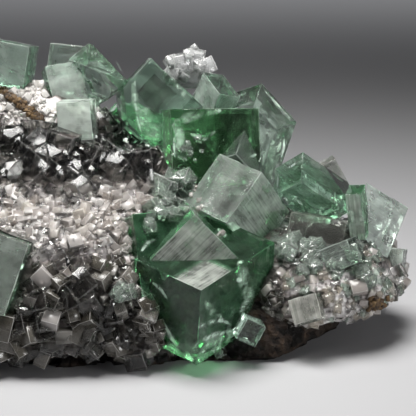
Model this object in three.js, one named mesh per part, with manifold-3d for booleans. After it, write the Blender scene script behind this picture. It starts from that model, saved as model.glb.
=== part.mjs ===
// A hand-sized group of green cubic crystals, many of them penetration twins, grown on a
// pale crust of small cubes over a dark spongy rock that has a flat face to rest on.
// Millimetres, +Z up, the viewer stands at -Y, the rest face lies at Z = 0.
import * as THREE from "three";
import { mergeVertices } from "three/addons/utils/BufferGeometryUtils.js";
import Module from "manifold-3d";

const wasm = await Module();
wasm.setup();

// ---------------------------------------------------------------- driving dimensions
const SEAM = 0.3; // open seam between a crystal and what it grows on
const CRUST_BELOW = 2.4; // height of the crust's lower edge at the front
const CENTRE_X = -10.48; // where the middle of the whole outline lies in the blocks' numbers
const CENTRE_Y = 7.41;
const ROCK_FACETS = 9; // fineness of the rock and of the crust
const CRUST_FACETS = 11;

// Every crystal block: middle, direction of its first edge, direction of its second edge, three edge lengths.
const BLOCKS = {
  // front twin: the cube with its corner to the viewer, the cube through it, the block at its upper left
  frontCorner: [[-0.71, -6.49, 10.35], [-0.7932, 0.5755, 0.1992], [0.6061, 0.7776, 0.167], [11.52, 16.5, 12.05]],
  frontThrough: [[-2.47, -6.51, 14.69], [-0.7079, -0.1307, -0.6941], [0.6907, 0.0773, -0.719], [9.86, 9.86, 8.0]],
  frontUpper: [[-6.77, -5.62, 14.35], [0.9547, 0.2972, 0.0159], [0.1258, -0.3545, -0.9266], [8.09, 11.86, 8.4]],
  // frosted crystal behind the top of the front twin
  shoulder: [[4.2, 3.49, 19.17], [-0.7307, 0.6589, 0.1784], [0.3899, 0.6174, -0.6832], [8.05, 10.97, 8.89]],
  // centre: upright cube, the diamond-faced twin, the small pale twin, the cube behind, the tall clear one
  centre: [[0.47, 9.55, 25.75], [0.9705, 0.2384, -0.0358], [0.0222, -0.2362, -0.9714], [13.04, 12.47, 6.24]],
  diamond: [[-8.16, 16.3, 31.1], [0.7356, -0.0414, -0.6761], [-0.667, -0.2189, -0.7122], [10.42, 9.69, 8.68]],
  diamondSide: [[-3.73, 13.44, 32.38], [0.9615, 0.2668, 0.0653], [0.1103, -0.1574, -0.9814], [16.8, 19.6, 14.0]],
  paleTwin: [[0.36, 16.01, 30.7], [0.3937, -0.8427, -0.3671], [-0.3649, 0.2233, -0.9039], [6.17, 8.82, 3.53]],
  behind: [[0.64, 19.48, 29.28], [0.7986, -0.11, -0.5917], [-0.6018, -0.146, -0.7852], [8.26, 8.86, 5.9]],
  tall: [[5.53, 13.7, 26.05], [0.6017, 0.3324, -0.7263], [-0.7488, 0.5513, -0.368], [8.79, 8.2, 14.06]],
  // right: striated twin, dark cube behind it, far pale cube, its ridged twin corner
  right: [[14.82, 6.21, 20.93], [0.085, 0.8009, 0.5927], [0.7285, 0.3558, -0.5854], [5.46, 9.52, 5.6]],
  rightBehind: [[17.83, 8.79, 20.75], [0.4758, -0.0987, -0.874], [-0.8795, -0.045, -0.4737], [7.43, 4.86, 4.86]],
  farRight: [[22.28, 6.24, 16.37], [0.7632, 0.3361, -0.5518], [-0.4022, -0.4212, -0.8129], [8.51, 8.51, 6.52]],
  farRightSide: [[30.92, 0.81, 19.25], [0.1422, 0.1893, -0.9716], [-0.9492, 0.3044, -0.0796], [24.0, 18.0, 24.0]],
  ridged: [[21.22, 2.47, 18.71], [0.1422, 0.1893, -0.9716], [-0.9492, 0.3044, -0.0796], [7.3, 2.3, 3.0]],
  // left rear: peaked crystal and the slope that cuts it, its neighbour, two smaller ones
  peak: [[-15.0, 18.9, 34.33], [0.8176, -0.5368, -0.2084], [0.0321, 0.4037, -0.9143], [10.04, 7.38, 5.02]],
  peakSlope: [[-19.28, 18.5, 33.03], [0.6882, -0.0718, -0.722], [-0.7223, -0.1623, -0.6723], [8.4, 12.6, 28.0]],
  peakLeft: [[-21.4, 19.53, 33.69], [0.9567, 0.2574, 0.1356], [0.2106, -0.2908, -0.9333], [5.29, 5.88, 5.88]],
  rearSmall: [[-21.26, 23.34, 36.53], [0.9902, -0.1008, -0.0962], [-0.1128, -0.1742, -0.9782], [4.93, 5.08, 4.48]],
  cornerLeft: [[-30.05, 19.47, 37.03], [0.9662, -0.2091, -0.1506], [-0.1768, -0.1128, -0.9778], [7.94, 6.47, 5.29]],
  paleBlock: [[-18.93, 11.31, 30.27], [0.9919, -0.1092, 0.0643], [0.0546, -0.0902, -0.9944], [5.02, 5.45, 4.31]],
  // low ones along the front and the right end
  frontLeft: [[-29.18, -10.62, 14.33], [0.9438, -0.0971, -0.316], [-0.3302, -0.2285, -0.9159], [7.96, 10.08, 7.43]],
  lowRight: [[18.57, -3.2, 13.98], [0.8126, -0.3593, 0.4588], [0.3724, -0.2855, -0.8831], [5.0, 3.61, 3.89]],
  clear: [[15.49, 2.39, 15.58], [0.9719, -0.1932, -0.1342], [-0.1698, -0.1811, -0.9687], [7.89, 5.07, 4.79]],
  rightEnd: [[26.87, 4.93, 10.45], [0.9563, -0.2913, -0.0244], [-0.1063, -0.2686, -0.9574], [2.87, 4.31, 3.44]],
  teal: [[5.6, -10.2, 5.54], [0.8643, 0.1762, -0.4712], [-0.4596, -0.104, -0.882], [2.98, 3.25, 2.98]],
  shard: [[13.63, -8.2, 7.8], [0.8954, -0.2418, 0.3739], [0.2274, -0.4734, -0.851], [4.11, 3.56, 2.19]],
  // small cubes capping the centre
  capA: [[-4.09, 20.02, 36.87], [0.9379, 0.3204, 0.1332], [0.1502, -0.0286, -0.9883], [3.24, 3.24, 3.54]],
  capB: [[-1.82, 21.98, 37.21], [0.9639, -0.2183, -0.1524], [-0.1393, 0.0743, -0.9875], [2.68, 2.98, 3.27]],
  capC: [[-0.25, 21.22, 36.17], [0.8532, 0.409, 0.3236], [0.4373, -0.2229, -0.8713], [2.52, 2.67, 2.97]],
  capD: [[-5.14, 19.36, 35.46], [0.9294, -0.296, -0.2203], [-0.2618, -0.1081, -0.959], [2.22, 2.37, 2.66]],
  capBed: [[-2.7, 20.9, 34.6], [0.98, 0.18, -0.05], [0.15, -0.98, 0.1], [6.2, 3.4, 3.6]],
  // beyond the left edge of the view and on the back
  leftEnd: [[-40.2, 3.2, 22.0], [0.72, -0.52, 0.46], [0.36, 0.85, 0.38], [10.2, 9.4, 9.0]],
  leftEndThrough: [[-41.2, 2.0, 21.2], [0.41, 0.87, -0.27], [-0.78, 0.18, -0.6], [8.8, 8.8, 8.4]],
  leftLow: [[-44.6, -2.6, 10.2], [0.66, -0.7, 0.28], [0.3, 0.58, 0.76], [6.6, 6.6, 6.2]],
  back: [[-11.5, 25.6, 23.5], [0.8, 0.42, -0.43], [-0.15, 0.83, 0.53], [9.0, 8.4, 8.8]],
  backLow: [[9.5, 22.0, 13.6], [0.62, 0.68, 0.39], [-0.77, 0.62, 0.14], [7.2, 7.2, 6.8]],
};

// Lobes of the crust's outer surface and of the rock: middle and three radii.
const CRUST_LOBES = [
  [-22, 9, 6, 24, 15, 21.5],
  [-20, -1, 7, 27, 13.2, 14.6],
  [2, 11, 5, 20, 14.5, 14.5],
  [15, 5, 8, 13.6, 13.2, 8.4],
  [-26, 18, 10, 17, 11, 24.5],
  [-6, 14, 8, 12, 12, 20],
];
const ROCK_LOBES = [
  [-16, 7, 3, 29.5, 16.5, 15],
  [6, 6, 3.5, 14.8, 14.2, 9.5],
  [-18, 17, 6, 24, 9, 14],
];
const BODY_MIDDLE = [-11, 7, 7];
// Lobes of cubes that stand out of the crust: how many, edge from and to.
const CRUST_CUBES = 74;
const CRUST_CUBE_EDGE = [2.2, 4.4];

// ---------------------------------------------------------------- solids
function solid(geometry) {
  const g = geometry.index ? geometry.toNonIndexed() : geometry.clone();
  for (const name of ["normal", "uv"]) g.deleteAttribute(name);
  const merged = mergeVertices(g, 1e-4);
  return new wasm.Manifold(
    new wasm.Mesh({
      numProp: 3,
      vertProperties: new Float32Array(merged.attributes.position.array),
      triVerts: new Uint32Array(merged.index.array),
    }),
  );
}

// A block with right-angled edges; grow moves every face outwards.
function block(middle, first, second, edges, grow = 0) {
  const a = new THREE.Vector3(...first).normalize();
  const b = new THREE.Vector3(...second);
  b.addScaledVector(a, -b.dot(a)).normalize();
  const c = new THREE.Vector3().crossVectors(a, b);
  const g = new THREE.BoxGeometry(...edges.map((e) => e + 2 * grow));
  g.applyMatrix4(new THREE.Matrix4().makeBasis(a, b, c).setPosition(...middle));
  return solid(g);
}
const named = (name, grow) => block(...BLOCKS[name], grow);

// Repeatable lattice noise in three dimensions, about -1 to 1.
function hash(i, j, k) {
  let h = (i * 374761393 + j * 668265263 + k * 1274126177) | 0;
  h = Math.imul(h ^ (h >>> 13), 1274126177);
  return (((h ^ (h >>> 16)) >>> 0) / 4294967295) * 2 - 1;
}
function noise(x, y, z) {
  const i = Math.floor(x), j = Math.floor(y), k = Math.floor(z);
  const s = (t) => t * t * (3 - 2 * t);
  const u = s(x - i), v = s(y - j), w = s(z - k);
  let sum = 0;
  for (let c = 0; c < 8; c++) {
    const di = c & 1, dj = (c >> 1) & 1, dk = c >> 2;
    sum += hash(i + di, j + dj, k + dk) * (di ? u : 1 - u) * (dj ? v : 1 - v) * (dk ? w : 1 - w);
  }
  return sum;
}

// How far the surface of a set of lobes lies from the body's middle in one direction.
function reach(lobes, d) {
  const hits = [];
  for (const [x, y, z, rx, ry, rz] of lobes) {
    const o = [(BODY_MIDDLE[0] - x) / rx, (BODY_MIDDLE[1] - y) / ry, (BODY_MIDDLE[2] - z) / rz];
    const v = [d.x / rx, d.y / ry, d.z / rz];
    const a = v[0] ** 2 + v[1] ** 2 + v[2] ** 2;
    const b = o[0] * v[0] + o[1] * v[1] + o[2] * v[2];
    const disc = b * b - a * (o[0] ** 2 + o[1] ** 2 + o[2] ** 2 - 1);
    if (disc > 0) hits.push((-b + Math.sqrt(disc)) / a);
  }
  const most = Math.max(...hits);
  return most + 1.2 * Math.log(hits.reduce((t, h) => t + Math.exp((h - most) / 1.2), 0));
}

// A lumpy body around the middle, from its lobes.
function body(lobes, facets, lump, lumpSize, grow = 0) {
  const g = new THREE.IcosahedronGeometry(1, facets);
  const p = g.getAttribute("position");
  const d = new THREE.Vector3();
  for (let i = 0; i < p.count; i++) {
    d.fromBufferAttribute(p, i).normalize();
    const r0 = reach(lobes, d);
    const q = d.clone().multiplyScalar(r0);
    const n = noise(q.x / lumpSize, q.y / lumpSize, q.z / lumpSize) + 0.5 * noise((2.1 * q.x) / lumpSize, (2.1 * q.y) / lumpSize + 9, (2.1 * q.z) / lumpSize);
    const r = r0 + lump * n + grow;
    p.setXYZ(i, BODY_MIDDLE[0] + d.x * r, BODY_MIDDLE[1] + d.y * r, BODY_MIDDLE[2] + d.z * r);
  }
  return solid(g);
}

// Everything below a plane through a point that rises along +X by the given angle.
function below(x, z, degrees) {
  const g = new THREE.BoxGeometry(200, 200, 60);
  g.translate(0, 0, -30);
  g.rotateY(THREE.MathUtils.degToRad(-degrees));
  g.translate(x, 0, z);
  return solid(g);
}

const largest = (s) => s.decompose().sort((a, b) => b.volume() - a.volume())[0];
const join = (list) => list.reduce((a, b) => a.add(b));

// ---------------------------------------------------------------- crystals
// Each crystal as its blocks; where two blocks are given in one entry the second cuts the first to its shape.
const CRYSTALS = {
  front_twin: [["frontCorner"], ["frontThrough"], ["frontUpper"]],
  centre_cluster: [["centre"], ["diamond", "diamondSide"], ["paleTwin"], ["behind"], ["tall"]],
  shoulder_crystal: [["shoulder"]],
  right_twin: [["right"], ["rightBehind"]],
  far_right_twin: [["farRight", "farRightSide"], ["ridged"]],
  left_rear_twin: [["peak", "peakSlope"], ["peakLeft"]],
  left_rear_cube: [["rearSmall"]],
  left_corner_crystal: [["cornerLeft"]],
  pale_block: [["paleBlock"]],
  front_left_crystal: [["frontLeft"]],
  clear_cube: [["clear"]],
  low_right_cube: [["lowRight"]],
  right_end_crystal: [["rightEnd"]],
  teal_cube: [["teal"]],
  clear_shard: [["shard"]],
  drusy_cap: [["capA"], ["capB"], ["capC"], ["capD"], ["capBed"]],
  left_end_twin: [["leftEnd"], ["leftEndThrough"]],
  left_end_cube: [["leftLow"]],
  back_cube: [["back"]],
  back_low_cube: [["backLow"]],
};
const shape = (entries, grow) =>
  join(entries.map(([one, cut]) => (cut ? named(one, grow).intersect(named(cut, grow)) : named(one, grow))));

// Bigger crystals come first; a later one stops short of those before it.
const solids = {};
let taken = null; // all crystals so far with the seam around them
for (const [name, entries] of Object.entries(CRYSTALS)) {
  let s = shape(entries, 0);
  if (taken) s = largest(s.subtract(taken));
  solids[name] = s;
  const around = shape(entries, SEAM);
  taken = taken ? taken.add(around) : around;
}

// ---------------------------------------------------------------- rock and crust
const belowRest = below(0, 0, 0);
const rockWhole = (grow) => body(ROCK_LOBES, ROCK_FACETS, 1.0, 7, grow);
const rightRise = below(7, 0, 17); // the rock's underside rises towards the right end
solids.matrix = largest(rockWhole(0).subtract(belowRest).subtract(rightRise).subtract(taken));

let crust = body(CRUST_LOBES, CRUST_FACETS, 0.9, 5.5);
// cubes standing out of the crust on the side that faces the viewer, the top and the ends
const turn = (i, k) => hash(i * 7 + 3, k * 13 + 5, i + k * 31);
let made = 0;
for (let i = 0; made < CRUST_CUBES && i < 4000; i++) {
  const d = new THREE.Vector3(turn(i, 1), turn(i, 2) - 0.35, turn(i, 3) * 0.6 + 0.45).normalize();
  const r = reach(CRUST_LOBES, d);
  const m = [BODY_MIDDLE[0] + d.x * r, BODY_MIDDLE[1] + d.y * r, BODY_MIDDLE[2] + d.z * r];
  if (m[2] < CRUST_BELOW + 2.5) continue;
  const t = (turn(i, 4) + 1) / 2;
  const e = CRUST_CUBE_EDGE[0] + (CRUST_CUBE_EDGE[1] - CRUST_CUBE_EDGE[0]) * t * t;
  const a = [turn(i, 5), turn(i, 6), turn(i, 7)];
  const b = [turn(i, 8), turn(i, 9), turn(i, 10)];
  crust = crust.add(block(m, a, b, [e, e, e]));
  made++;
}
crust = crust
  .subtract(below(0, CRUST_BELOW, 0))
  .subtract(below(2, CRUST_BELOW, 10))
  .subtract(rockWhole(SEAM).subtract(rightRise))
  .subtract(taken);
solids.crust = largest(crust);

// ---------------------------------------------------------------- the group
const FINISH = {
  matrix: [0x3a2a1e, 0.92],
  crust: [0xc3bcc0, 0.4],
  drusy_cap: [0xd9dcda, 0.3],
  clear_cube: [0xa8a59a, 0.12],
  clear_shard: [0xd2d0d2, 0.15],
  shoulder_crystal: [0xa9b8ae, 0.35],
  far_right_twin: [0x9fb0aa, 0.25],
  pale_block: [0xaebcb2, 0.25],
  front_twin: [0x2f6a4c, 0.12],
  centre_cluster: [0x2a7048, 0.1],
};
const PLAIN = [0x5d8a72, 0.15];

const group = new THREE.Group();
group.name = "fluorite_cluster";
for (const [name, s] of Object.entries(solids)) {
  const m = s.getMesh();
  const v = new Float32Array(m.numVert * 3);
  for (let i = 0; i < m.numVert; i++) {
    v[3 * i] = m.vertProperties[i * m.numProp] - CENTRE_X;
    v[3 * i + 1] = m.vertProperties[i * m.numProp + 1] - CENTRE_Y;
    v[3 * i + 2] = m.vertProperties[i * m.numProp + 2];
  }
  const g = new THREE.BufferGeometry()
    .setAttribute("position", new THREE.BufferAttribute(v, 3))
    .setIndex(new THREE.BufferAttribute(new Uint32Array(m.triVerts), 1));
  g.computeVertexNormals();
  const [color, roughness] = FINISH[name] ?? PLAIN;
  const mesh = new THREE.Mesh(g, new THREE.MeshStandardMaterial({ color, roughness, metalness: 0, flatShading: true }));
  mesh.name = name;
  group.add(mesh);
}

export default group;
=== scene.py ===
import bpy
import math
import numpy as np
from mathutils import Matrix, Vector


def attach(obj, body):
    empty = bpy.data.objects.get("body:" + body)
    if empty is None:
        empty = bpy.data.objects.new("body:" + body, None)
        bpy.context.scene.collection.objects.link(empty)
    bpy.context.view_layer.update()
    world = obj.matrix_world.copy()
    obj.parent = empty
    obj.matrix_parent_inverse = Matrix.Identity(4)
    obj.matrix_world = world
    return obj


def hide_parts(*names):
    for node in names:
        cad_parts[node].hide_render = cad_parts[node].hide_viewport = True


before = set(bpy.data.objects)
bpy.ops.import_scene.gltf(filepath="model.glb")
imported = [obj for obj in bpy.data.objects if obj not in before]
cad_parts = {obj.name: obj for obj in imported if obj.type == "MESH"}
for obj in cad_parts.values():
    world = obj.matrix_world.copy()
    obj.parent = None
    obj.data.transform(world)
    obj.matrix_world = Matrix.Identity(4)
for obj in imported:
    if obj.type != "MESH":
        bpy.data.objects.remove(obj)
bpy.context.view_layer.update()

MM = 0.001
SHIFT = np.array([10.48, -7.41, 0.0])  # from the tables' numbers to the frame

# viewing geometry
PITCH = math.radians(15.0)
AIM = np.array([0.0, 0.0, 20.0])
REACH = 240.0
PER_PIXEL = 0.14
RIGHT = np.array([1.0, 0.0, 0.0])
UPWARD = np.array([0.0, math.sin(PITCH), math.cos(PITCH)])
TOWARD = np.array([0.0, -math.cos(PITCH), math.sin(PITCH)])


def seen(p):
    """Where points of the tables lie in the 416 x 416 frame, and how far towards the viewer (mm)."""
    q = np.asarray(p, float) - AIM
    w = q @ TOWARD
    s = PER_PIXEL * (REACH - w) / REACH
    return 208 + (q @ RIGHT) / s, 208 - (q @ UPWARD) / s, w


# ------------------------------------------------------------------ repeatable noise
M32 = np.uint64(0xFFFFFFFF)


def _hash(i, j, k, seed):
    h = (i.astype(np.uint64) * np.uint64(374761393) + j.astype(np.uint64) * np.uint64(668265263) + k.astype(np.uint64) * np.uint64(2246822519) + np.uint64(seed * 3266489917 % 4294967296)) & M32
    h = ((h ^ (h >> np.uint64(15))) * np.uint64(2246822519)) & M32
    h = ((h ^ (h >> np.uint64(13))) * np.uint64(3266489917)) & M32
    return (h ^ (h >> np.uint64(16))).astype(np.float64) / 4294967295.0 * 2 - 1


def noise(p, size, seed=0):
    q = np.asarray(p, float) / size + 1000.0
    f = np.floor(q).astype(np.int64)
    t = q - f
    t = t * t * t * (t * (t * 6 - 15) + 10)
    total = np.zeros(len(q))
    for c in range(8):
        d = np.array([c & 1, (c >> 1) & 1, c >> 2])
        w = np.prod(np.where(d, t, 1 - t), axis=1)
        g = f + d
        total += w * _hash(g[:, 0], g[:, 1], g[:, 2], seed)
    return total


def fbm(p, size, octaves=4, seed=0, gain=0.5):
    out, a, s = 0.0, 1.0, size
    for o in range(octaves):
        out = out + a * noise(p, s, seed + o * 17)
        a *= gain
        s *= 0.5
    return out


def smooth(x, a, b):
    t = np.clip((x - a) / (b - a), 0, 1)
    return t * t * (3 - 2 * t)


# ------------------------------------------------------------------ crystal blocks: middle, first edge, second edge, lengths
BLOCKS = {
    "frontCorner": ((-0.71, -6.49, 10.35), (-0.7932, 0.5755, 0.1992), (0.6061, 0.7776, 0.167), (11.52, 16.5, 12.05)),
    "frontThrough": ((-2.47, -6.51, 14.69), (-0.7079, -0.1307, -0.6941), (0.6907, 0.0773, -0.719), (9.86, 9.86, 8.0)),
    "frontUpper": ((-6.77, -5.62, 14.35), (0.9547, 0.2972, 0.0159), (0.1258, -0.3545, -0.9266), (8.09, 11.86, 8.4)),
    "shoulder": ((4.2, 3.49, 19.17), (-0.7307, 0.6589, 0.1784), (0.3899, 0.6174, -0.6832), (8.05, 10.97, 8.89)),
    "centre": ((0.47, 9.55, 25.75), (0.9705, 0.2384, -0.0358), (0.0222, -0.2362, -0.9714), (13.04, 12.47, 6.24)),
    "diamond": ((-8.16, 16.3, 31.1), (0.7356, -0.0414, -0.6761), (-0.667, -0.2189, -0.7122), (10.42, 9.69, 8.68)),
    "diamondSide": ((-3.73, 13.44, 32.38), (0.9615, 0.2668, 0.0653), (0.1103, -0.1574, -0.9814), (16.8, 19.6, 14.0)),
    "paleTwin": ((0.36, 16.01, 30.7), (0.3937, -0.8427, -0.3671), (-0.3649, 0.2233, -0.9039), (6.17, 8.82, 3.53)),
    "behind": ((0.64, 19.48, 29.28), (0.7986, -0.11, -0.5917), (-0.6018, -0.146, -0.7852), (8.26, 8.86, 5.9)),
    "tall": ((5.53, 13.7, 26.05), (0.6017, 0.3324, -0.7263), (-0.7488, 0.5513, -0.368), (8.79, 8.2, 14.06)),
    "right": ((14.82, 6.21, 20.93), (0.085, 0.8009, 0.5927), (0.7285, 0.3558, -0.5854), (5.46, 9.52, 5.6)),
    "rightBehind": ((17.83, 8.79, 20.75), (0.4758, -0.0987, -0.874), (-0.8795, -0.045, -0.4737), (7.43, 4.86, 4.86)),
    "farRight": ((22.28, 6.24, 16.37), (0.7632, 0.3361, -0.5518), (-0.4022, -0.4212, -0.8129), (8.51, 8.51, 6.52)),
    "farRightSide": ((30.92, 0.81, 19.25), (0.1422, 0.1893, -0.9716), (-0.9492, 0.3044, -0.0796), (24.0, 18.0, 24.0)),
    "ridged": ((21.22, 2.47, 18.71), (0.1422, 0.1893, -0.9716), (-0.9492, 0.3044, -0.0796), (7.3, 2.3, 3.0)),
    "peak": ((-15.0, 18.9, 34.33), (0.8176, -0.5368, -0.2084), (0.0321, 0.4037, -0.9143), (10.04, 7.38, 5.02)),
    "peakSlope": ((-19.28, 18.5, 33.03), (0.6882, -0.0718, -0.722), (-0.7223, -0.1623, -0.6723), (8.4, 12.6, 28.0)),
    "peakLeft": ((-21.4, 19.53, 33.69), (0.9567, 0.2574, 0.1356), (0.2106, -0.2908, -0.9333), (5.29, 5.88, 5.88)),
    "rearSmall": ((-21.26, 23.34, 36.53), (0.9902, -0.1008, -0.0962), (-0.1128, -0.1742, -0.9782), (4.93, 5.08, 4.48)),
    "cornerLeft": ((-30.05, 19.47, 37.03), (0.9662, -0.2091, -0.1506), (-0.1768, -0.1128, -0.9778), (7.94, 6.47, 5.29)),
    "paleBlock": ((-18.93, 11.31, 30.27), (0.9919, -0.1092, 0.0643), (0.0546, -0.0902, -0.9944), (5.02, 5.45, 4.31)),
    "frontLeft": ((-29.18, -10.62, 14.33), (0.9438, -0.0971, -0.316), (-0.3302, -0.2285, -0.9159), (7.96, 10.08, 7.43)),
    "lowRight": ((18.57, -3.2, 13.98), (0.8126, -0.3593, 0.4588), (0.3724, -0.2855, -0.8831), (5.0, 3.61, 3.89)),
    "clear": ((15.49, 2.39, 15.58), (0.9719, -0.1932, -0.1342), (-0.1698, -0.1811, -0.9687), (7.89, 5.07, 4.79)),
    "rightEnd": ((26.87, 4.93, 10.45), (0.9563, -0.2913, -0.0244), (-0.1063, -0.2686, -0.9574), (2.87, 4.31, 3.44)),
    "teal": ((5.6, -10.2, 5.54), (0.8643, 0.1762, -0.4712), (-0.4596, -0.104, -0.882), (2.98, 3.25, 2.98)),
    "shard": ((13.63, -8.2, 7.8), (0.8954, -0.2418, 0.3739), (0.2274, -0.4734, -0.851), (4.11, 3.56, 2.19)),
    "capA": ((-4.09, 20.02, 36.87), (0.9379, 0.3204, 0.1332), (0.1502, -0.0286, -0.9883), (3.24, 3.24, 3.54)),
    "capB": ((-1.82, 21.98, 37.21), (0.9639, -0.2183, -0.1524), (-0.1393, 0.0743, -0.9875), (2.68, 2.98, 3.27)),
    "capC": ((-0.25, 21.22, 36.17), (0.8532, 0.409, 0.3236), (0.4373, -0.2229, -0.8713), (2.52, 2.67, 2.97)),
    "capD": ((-5.14, 19.36, 35.46), (0.9294, -0.296, -0.2203), (-0.2618, -0.1081, -0.959), (2.22, 2.37, 2.66)),
    "capBed": ((-2.7, 20.9, 34.6), (0.98, 0.18, -0.05), (0.15, -0.98, 0.1), (6.2, 3.4, 3.6)),
    "leftEnd": ((-40.2, 3.2, 22.0), (0.72, -0.52, 0.46), (0.36, 0.85, 0.38), (10.2, 9.4, 9.0)),
    "leftEndThrough": ((-41.2, 2.0, 21.2), (0.41, 0.87, -0.27), (-0.78, 0.18, -0.6), (8.8, 8.8, 8.4)),
    "leftLow": ((-44.6, -2.6, 10.2), (0.66, -0.7, 0.28), (0.3, 0.58, 0.76), (6.6, 6.6, 6.2)),
    "back": ((-11.5, 25.6, 23.5), (0.8, 0.42, -0.43), (-0.15, 0.83, 0.53), (9.0, 8.4, 8.8)),
    "backLow": ((9.5, 22.0, 13.6), (0.62, 0.68, 0.39), (-0.77, 0.62, 0.14), (7.2, 7.2, 6.8)),
}


class Block:
    def __init__(self, name):
        c, a, b, L = BLOCKS[name]
        a = np.array(a, float)
        a /= np.linalg.norm(a)
        b = np.array(b, float)
        b -= a * (a @ b)
        b /= np.linalg.norm(b)
        self.name, self.c, self.L = name, np.array(c, float), np.array(L, float)
        self.axes = np.array([a, b, np.cross(a, b)])
        self.seed = sum(ord(ch) * (i + 3) for i, ch in enumerate(name))

    def local(self, p):
        return (np.asarray(p, float) - self.c) @ self.axes.T

    def inside(self, p, grow=0.0):
        return np.all(np.abs(self.local(p)) < self.L / 2 + grow, axis=1)

    def face(self, direction):
        """The face (axis, side) that looks most in a direction."""
        d = self.axes @ np.asarray(direction, float)
        k = int(np.argmax(np.abs(d)))
        return k, (1 if d[k] > 0 else -1)


B = {n: Block(n) for n in BLOCKS}
DIRS = {"front": TOWARD, "up": np.array([0, 0, 1.0]), "left": -RIGHT, "right": RIGHT, "down": np.array([0, 0, -1.0]), "back": -TOWARD}

# How single faces look: roughness, frosted share of the surface, striation strength,
# and ridges as (height mm, spacing mm, edge direction 0 or 1).
LEFT_FRONT, RIGHT_FRONT = (-0.62, -0.75, -0.1), (0.75, -0.62, -0.1)
FACES = {
    ("frontThrough", "front"): dict(rough=0.22, frost=0.56, grain=3.0, ridge=(0.03, 0.42, 1)),
    ("frontCorner", "up"): dict(rough=0.12, frost=0.42, grain=3.2, ridge=(0.02, 0.5, 0)),
    ("frontCorner", LEFT_FRONT): dict(rough=0.05, frost=0.10, grain=0.9),
    ("frontCorner", RIGHT_FRONT): dict(rough=0.05, frost=0.13, grain=0.9),
    ("frontUpper", "up"): dict(rough=0.10, frost=0.10, grain=0.8),
    ("frontUpper", "front"): dict(rough=0.10, frost=0.14, grain=0.8),
    ("shoulder", "up"): dict(rough=0.30, frost=0.46, grain=0.6),
    ("shoulder", LEFT_FRONT): dict(rough=0.28, frost=0.44, grain=1.6),
    ("shoulder", RIGHT_FRONT): dict(rough=0.25, frost=0.42, grain=2.2),
    ("centre", "front"): dict(rough=0.02, frost=0.025, grain=0.4),
    ("centre", "up"): dict(rough=0.08, frost=0.12, grain=0.6),
    ("centre", "left"): dict(rough=0.06, frost=0.22, grain=0.6),
    ("diamond", "front"): dict(rough=0.02, frost=0.08, grain=0.4),
    ("diamond", "up"): dict(rough=0.05, frost=0.10, grain=0.5),
    ("paleTwin", LEFT_FRONT): dict(rough=0.25, frost=0.42, grain=1.2),
    ("paleTwin", "up"): dict(rough=0.06, frost=0.06, grain=0.6),
    ("tall", "right"): dict(rough=0.06, frost=0.14, grain=0.6),
    ("tall", "front"): dict(rough=0.04, frost=0.10, grain=0.6),
    ("right", "up"): dict(rough=0.16, frost=0.52, grain=5.0, ridge=(0.035, 0.5, 1)),
    ("right", "down"): dict(rough=0.03, frost=0.04, grain=0.5),
    ("right", "left"): dict(rough=0.03, frost=0.05, grain=0.5),
    ("rightBehind", "front"): dict(rough=0.02, frost=0.03, grain=0.4),
    ("farRight", "front"): dict(rough=0.28, frost=0.36, grain=6.0, ridge=(0.04, 0.45, 1)),
    ("ridged", "left"): dict(rough=0.2, frost=0.40, grain=1.0, ridge=(0.07, 0.60, 1)),
    ("ridged", "front"): dict(rough=0.2, frost=0.62, grain=1.6, ridge=(0.12, 0.60, 1)),
    ("ridged", "right"): dict(rough=0.04, frost=0.05, grain=0.5),
    ("peak", "front"): dict(rough=0.16, frost=0.36, grain=0.5),
    ("peak", "up"): dict(rough=0.03, frost=0.04, grain=0.5),
    ("peakLeft", "front"): dict(rough=0.18, frost=0.36, grain=0.5),
    ("peakLeft", "left"): dict(rough=0.04, frost=0.05, grain=0.5),
    ("peakLeft", "up"): dict(rough=0.08, frost=0.14, grain=0.5),
    ("cornerLeft", "front"): dict(rough=0.10, frost=0.30, grain=0.5),
    ("rearSmall", "front"): dict(rough=0.06, frost=0.10, grain=0.5),
    ("rearSmall", "up"): dict(rough=0.2, frost=0.40, grain=0.5),
    ("paleBlock", "front"): dict(rough=0.22, frost=0.88, grain=0.5),
    ("paleBlock", "up"): dict(rough=0.22, frost=0.50, grain=0.5),
    ("frontLeft", "front"): dict(rough=0.12, frost=0.26, grain=0.8),
    ("lowRight", "front"): dict(rough=0.25, frost=0.48, grain=2.6, ridge=(0.02, 0.4, 1)),
    ("shard", "front"): dict(rough=0.10, frost=0.46, grain=1.5, ridge=(0.22, 1.1, 0)),
    ("rightEnd", "front"): dict(rough=0.18, frost=0.34, grain=1.0),
}
FACE = {}
for (n, d), opt in FACES.items():
    FACE[(n,) + B[n].face(DIRS[d] if isinstance(d, str) else np.array(d))] = opt


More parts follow.
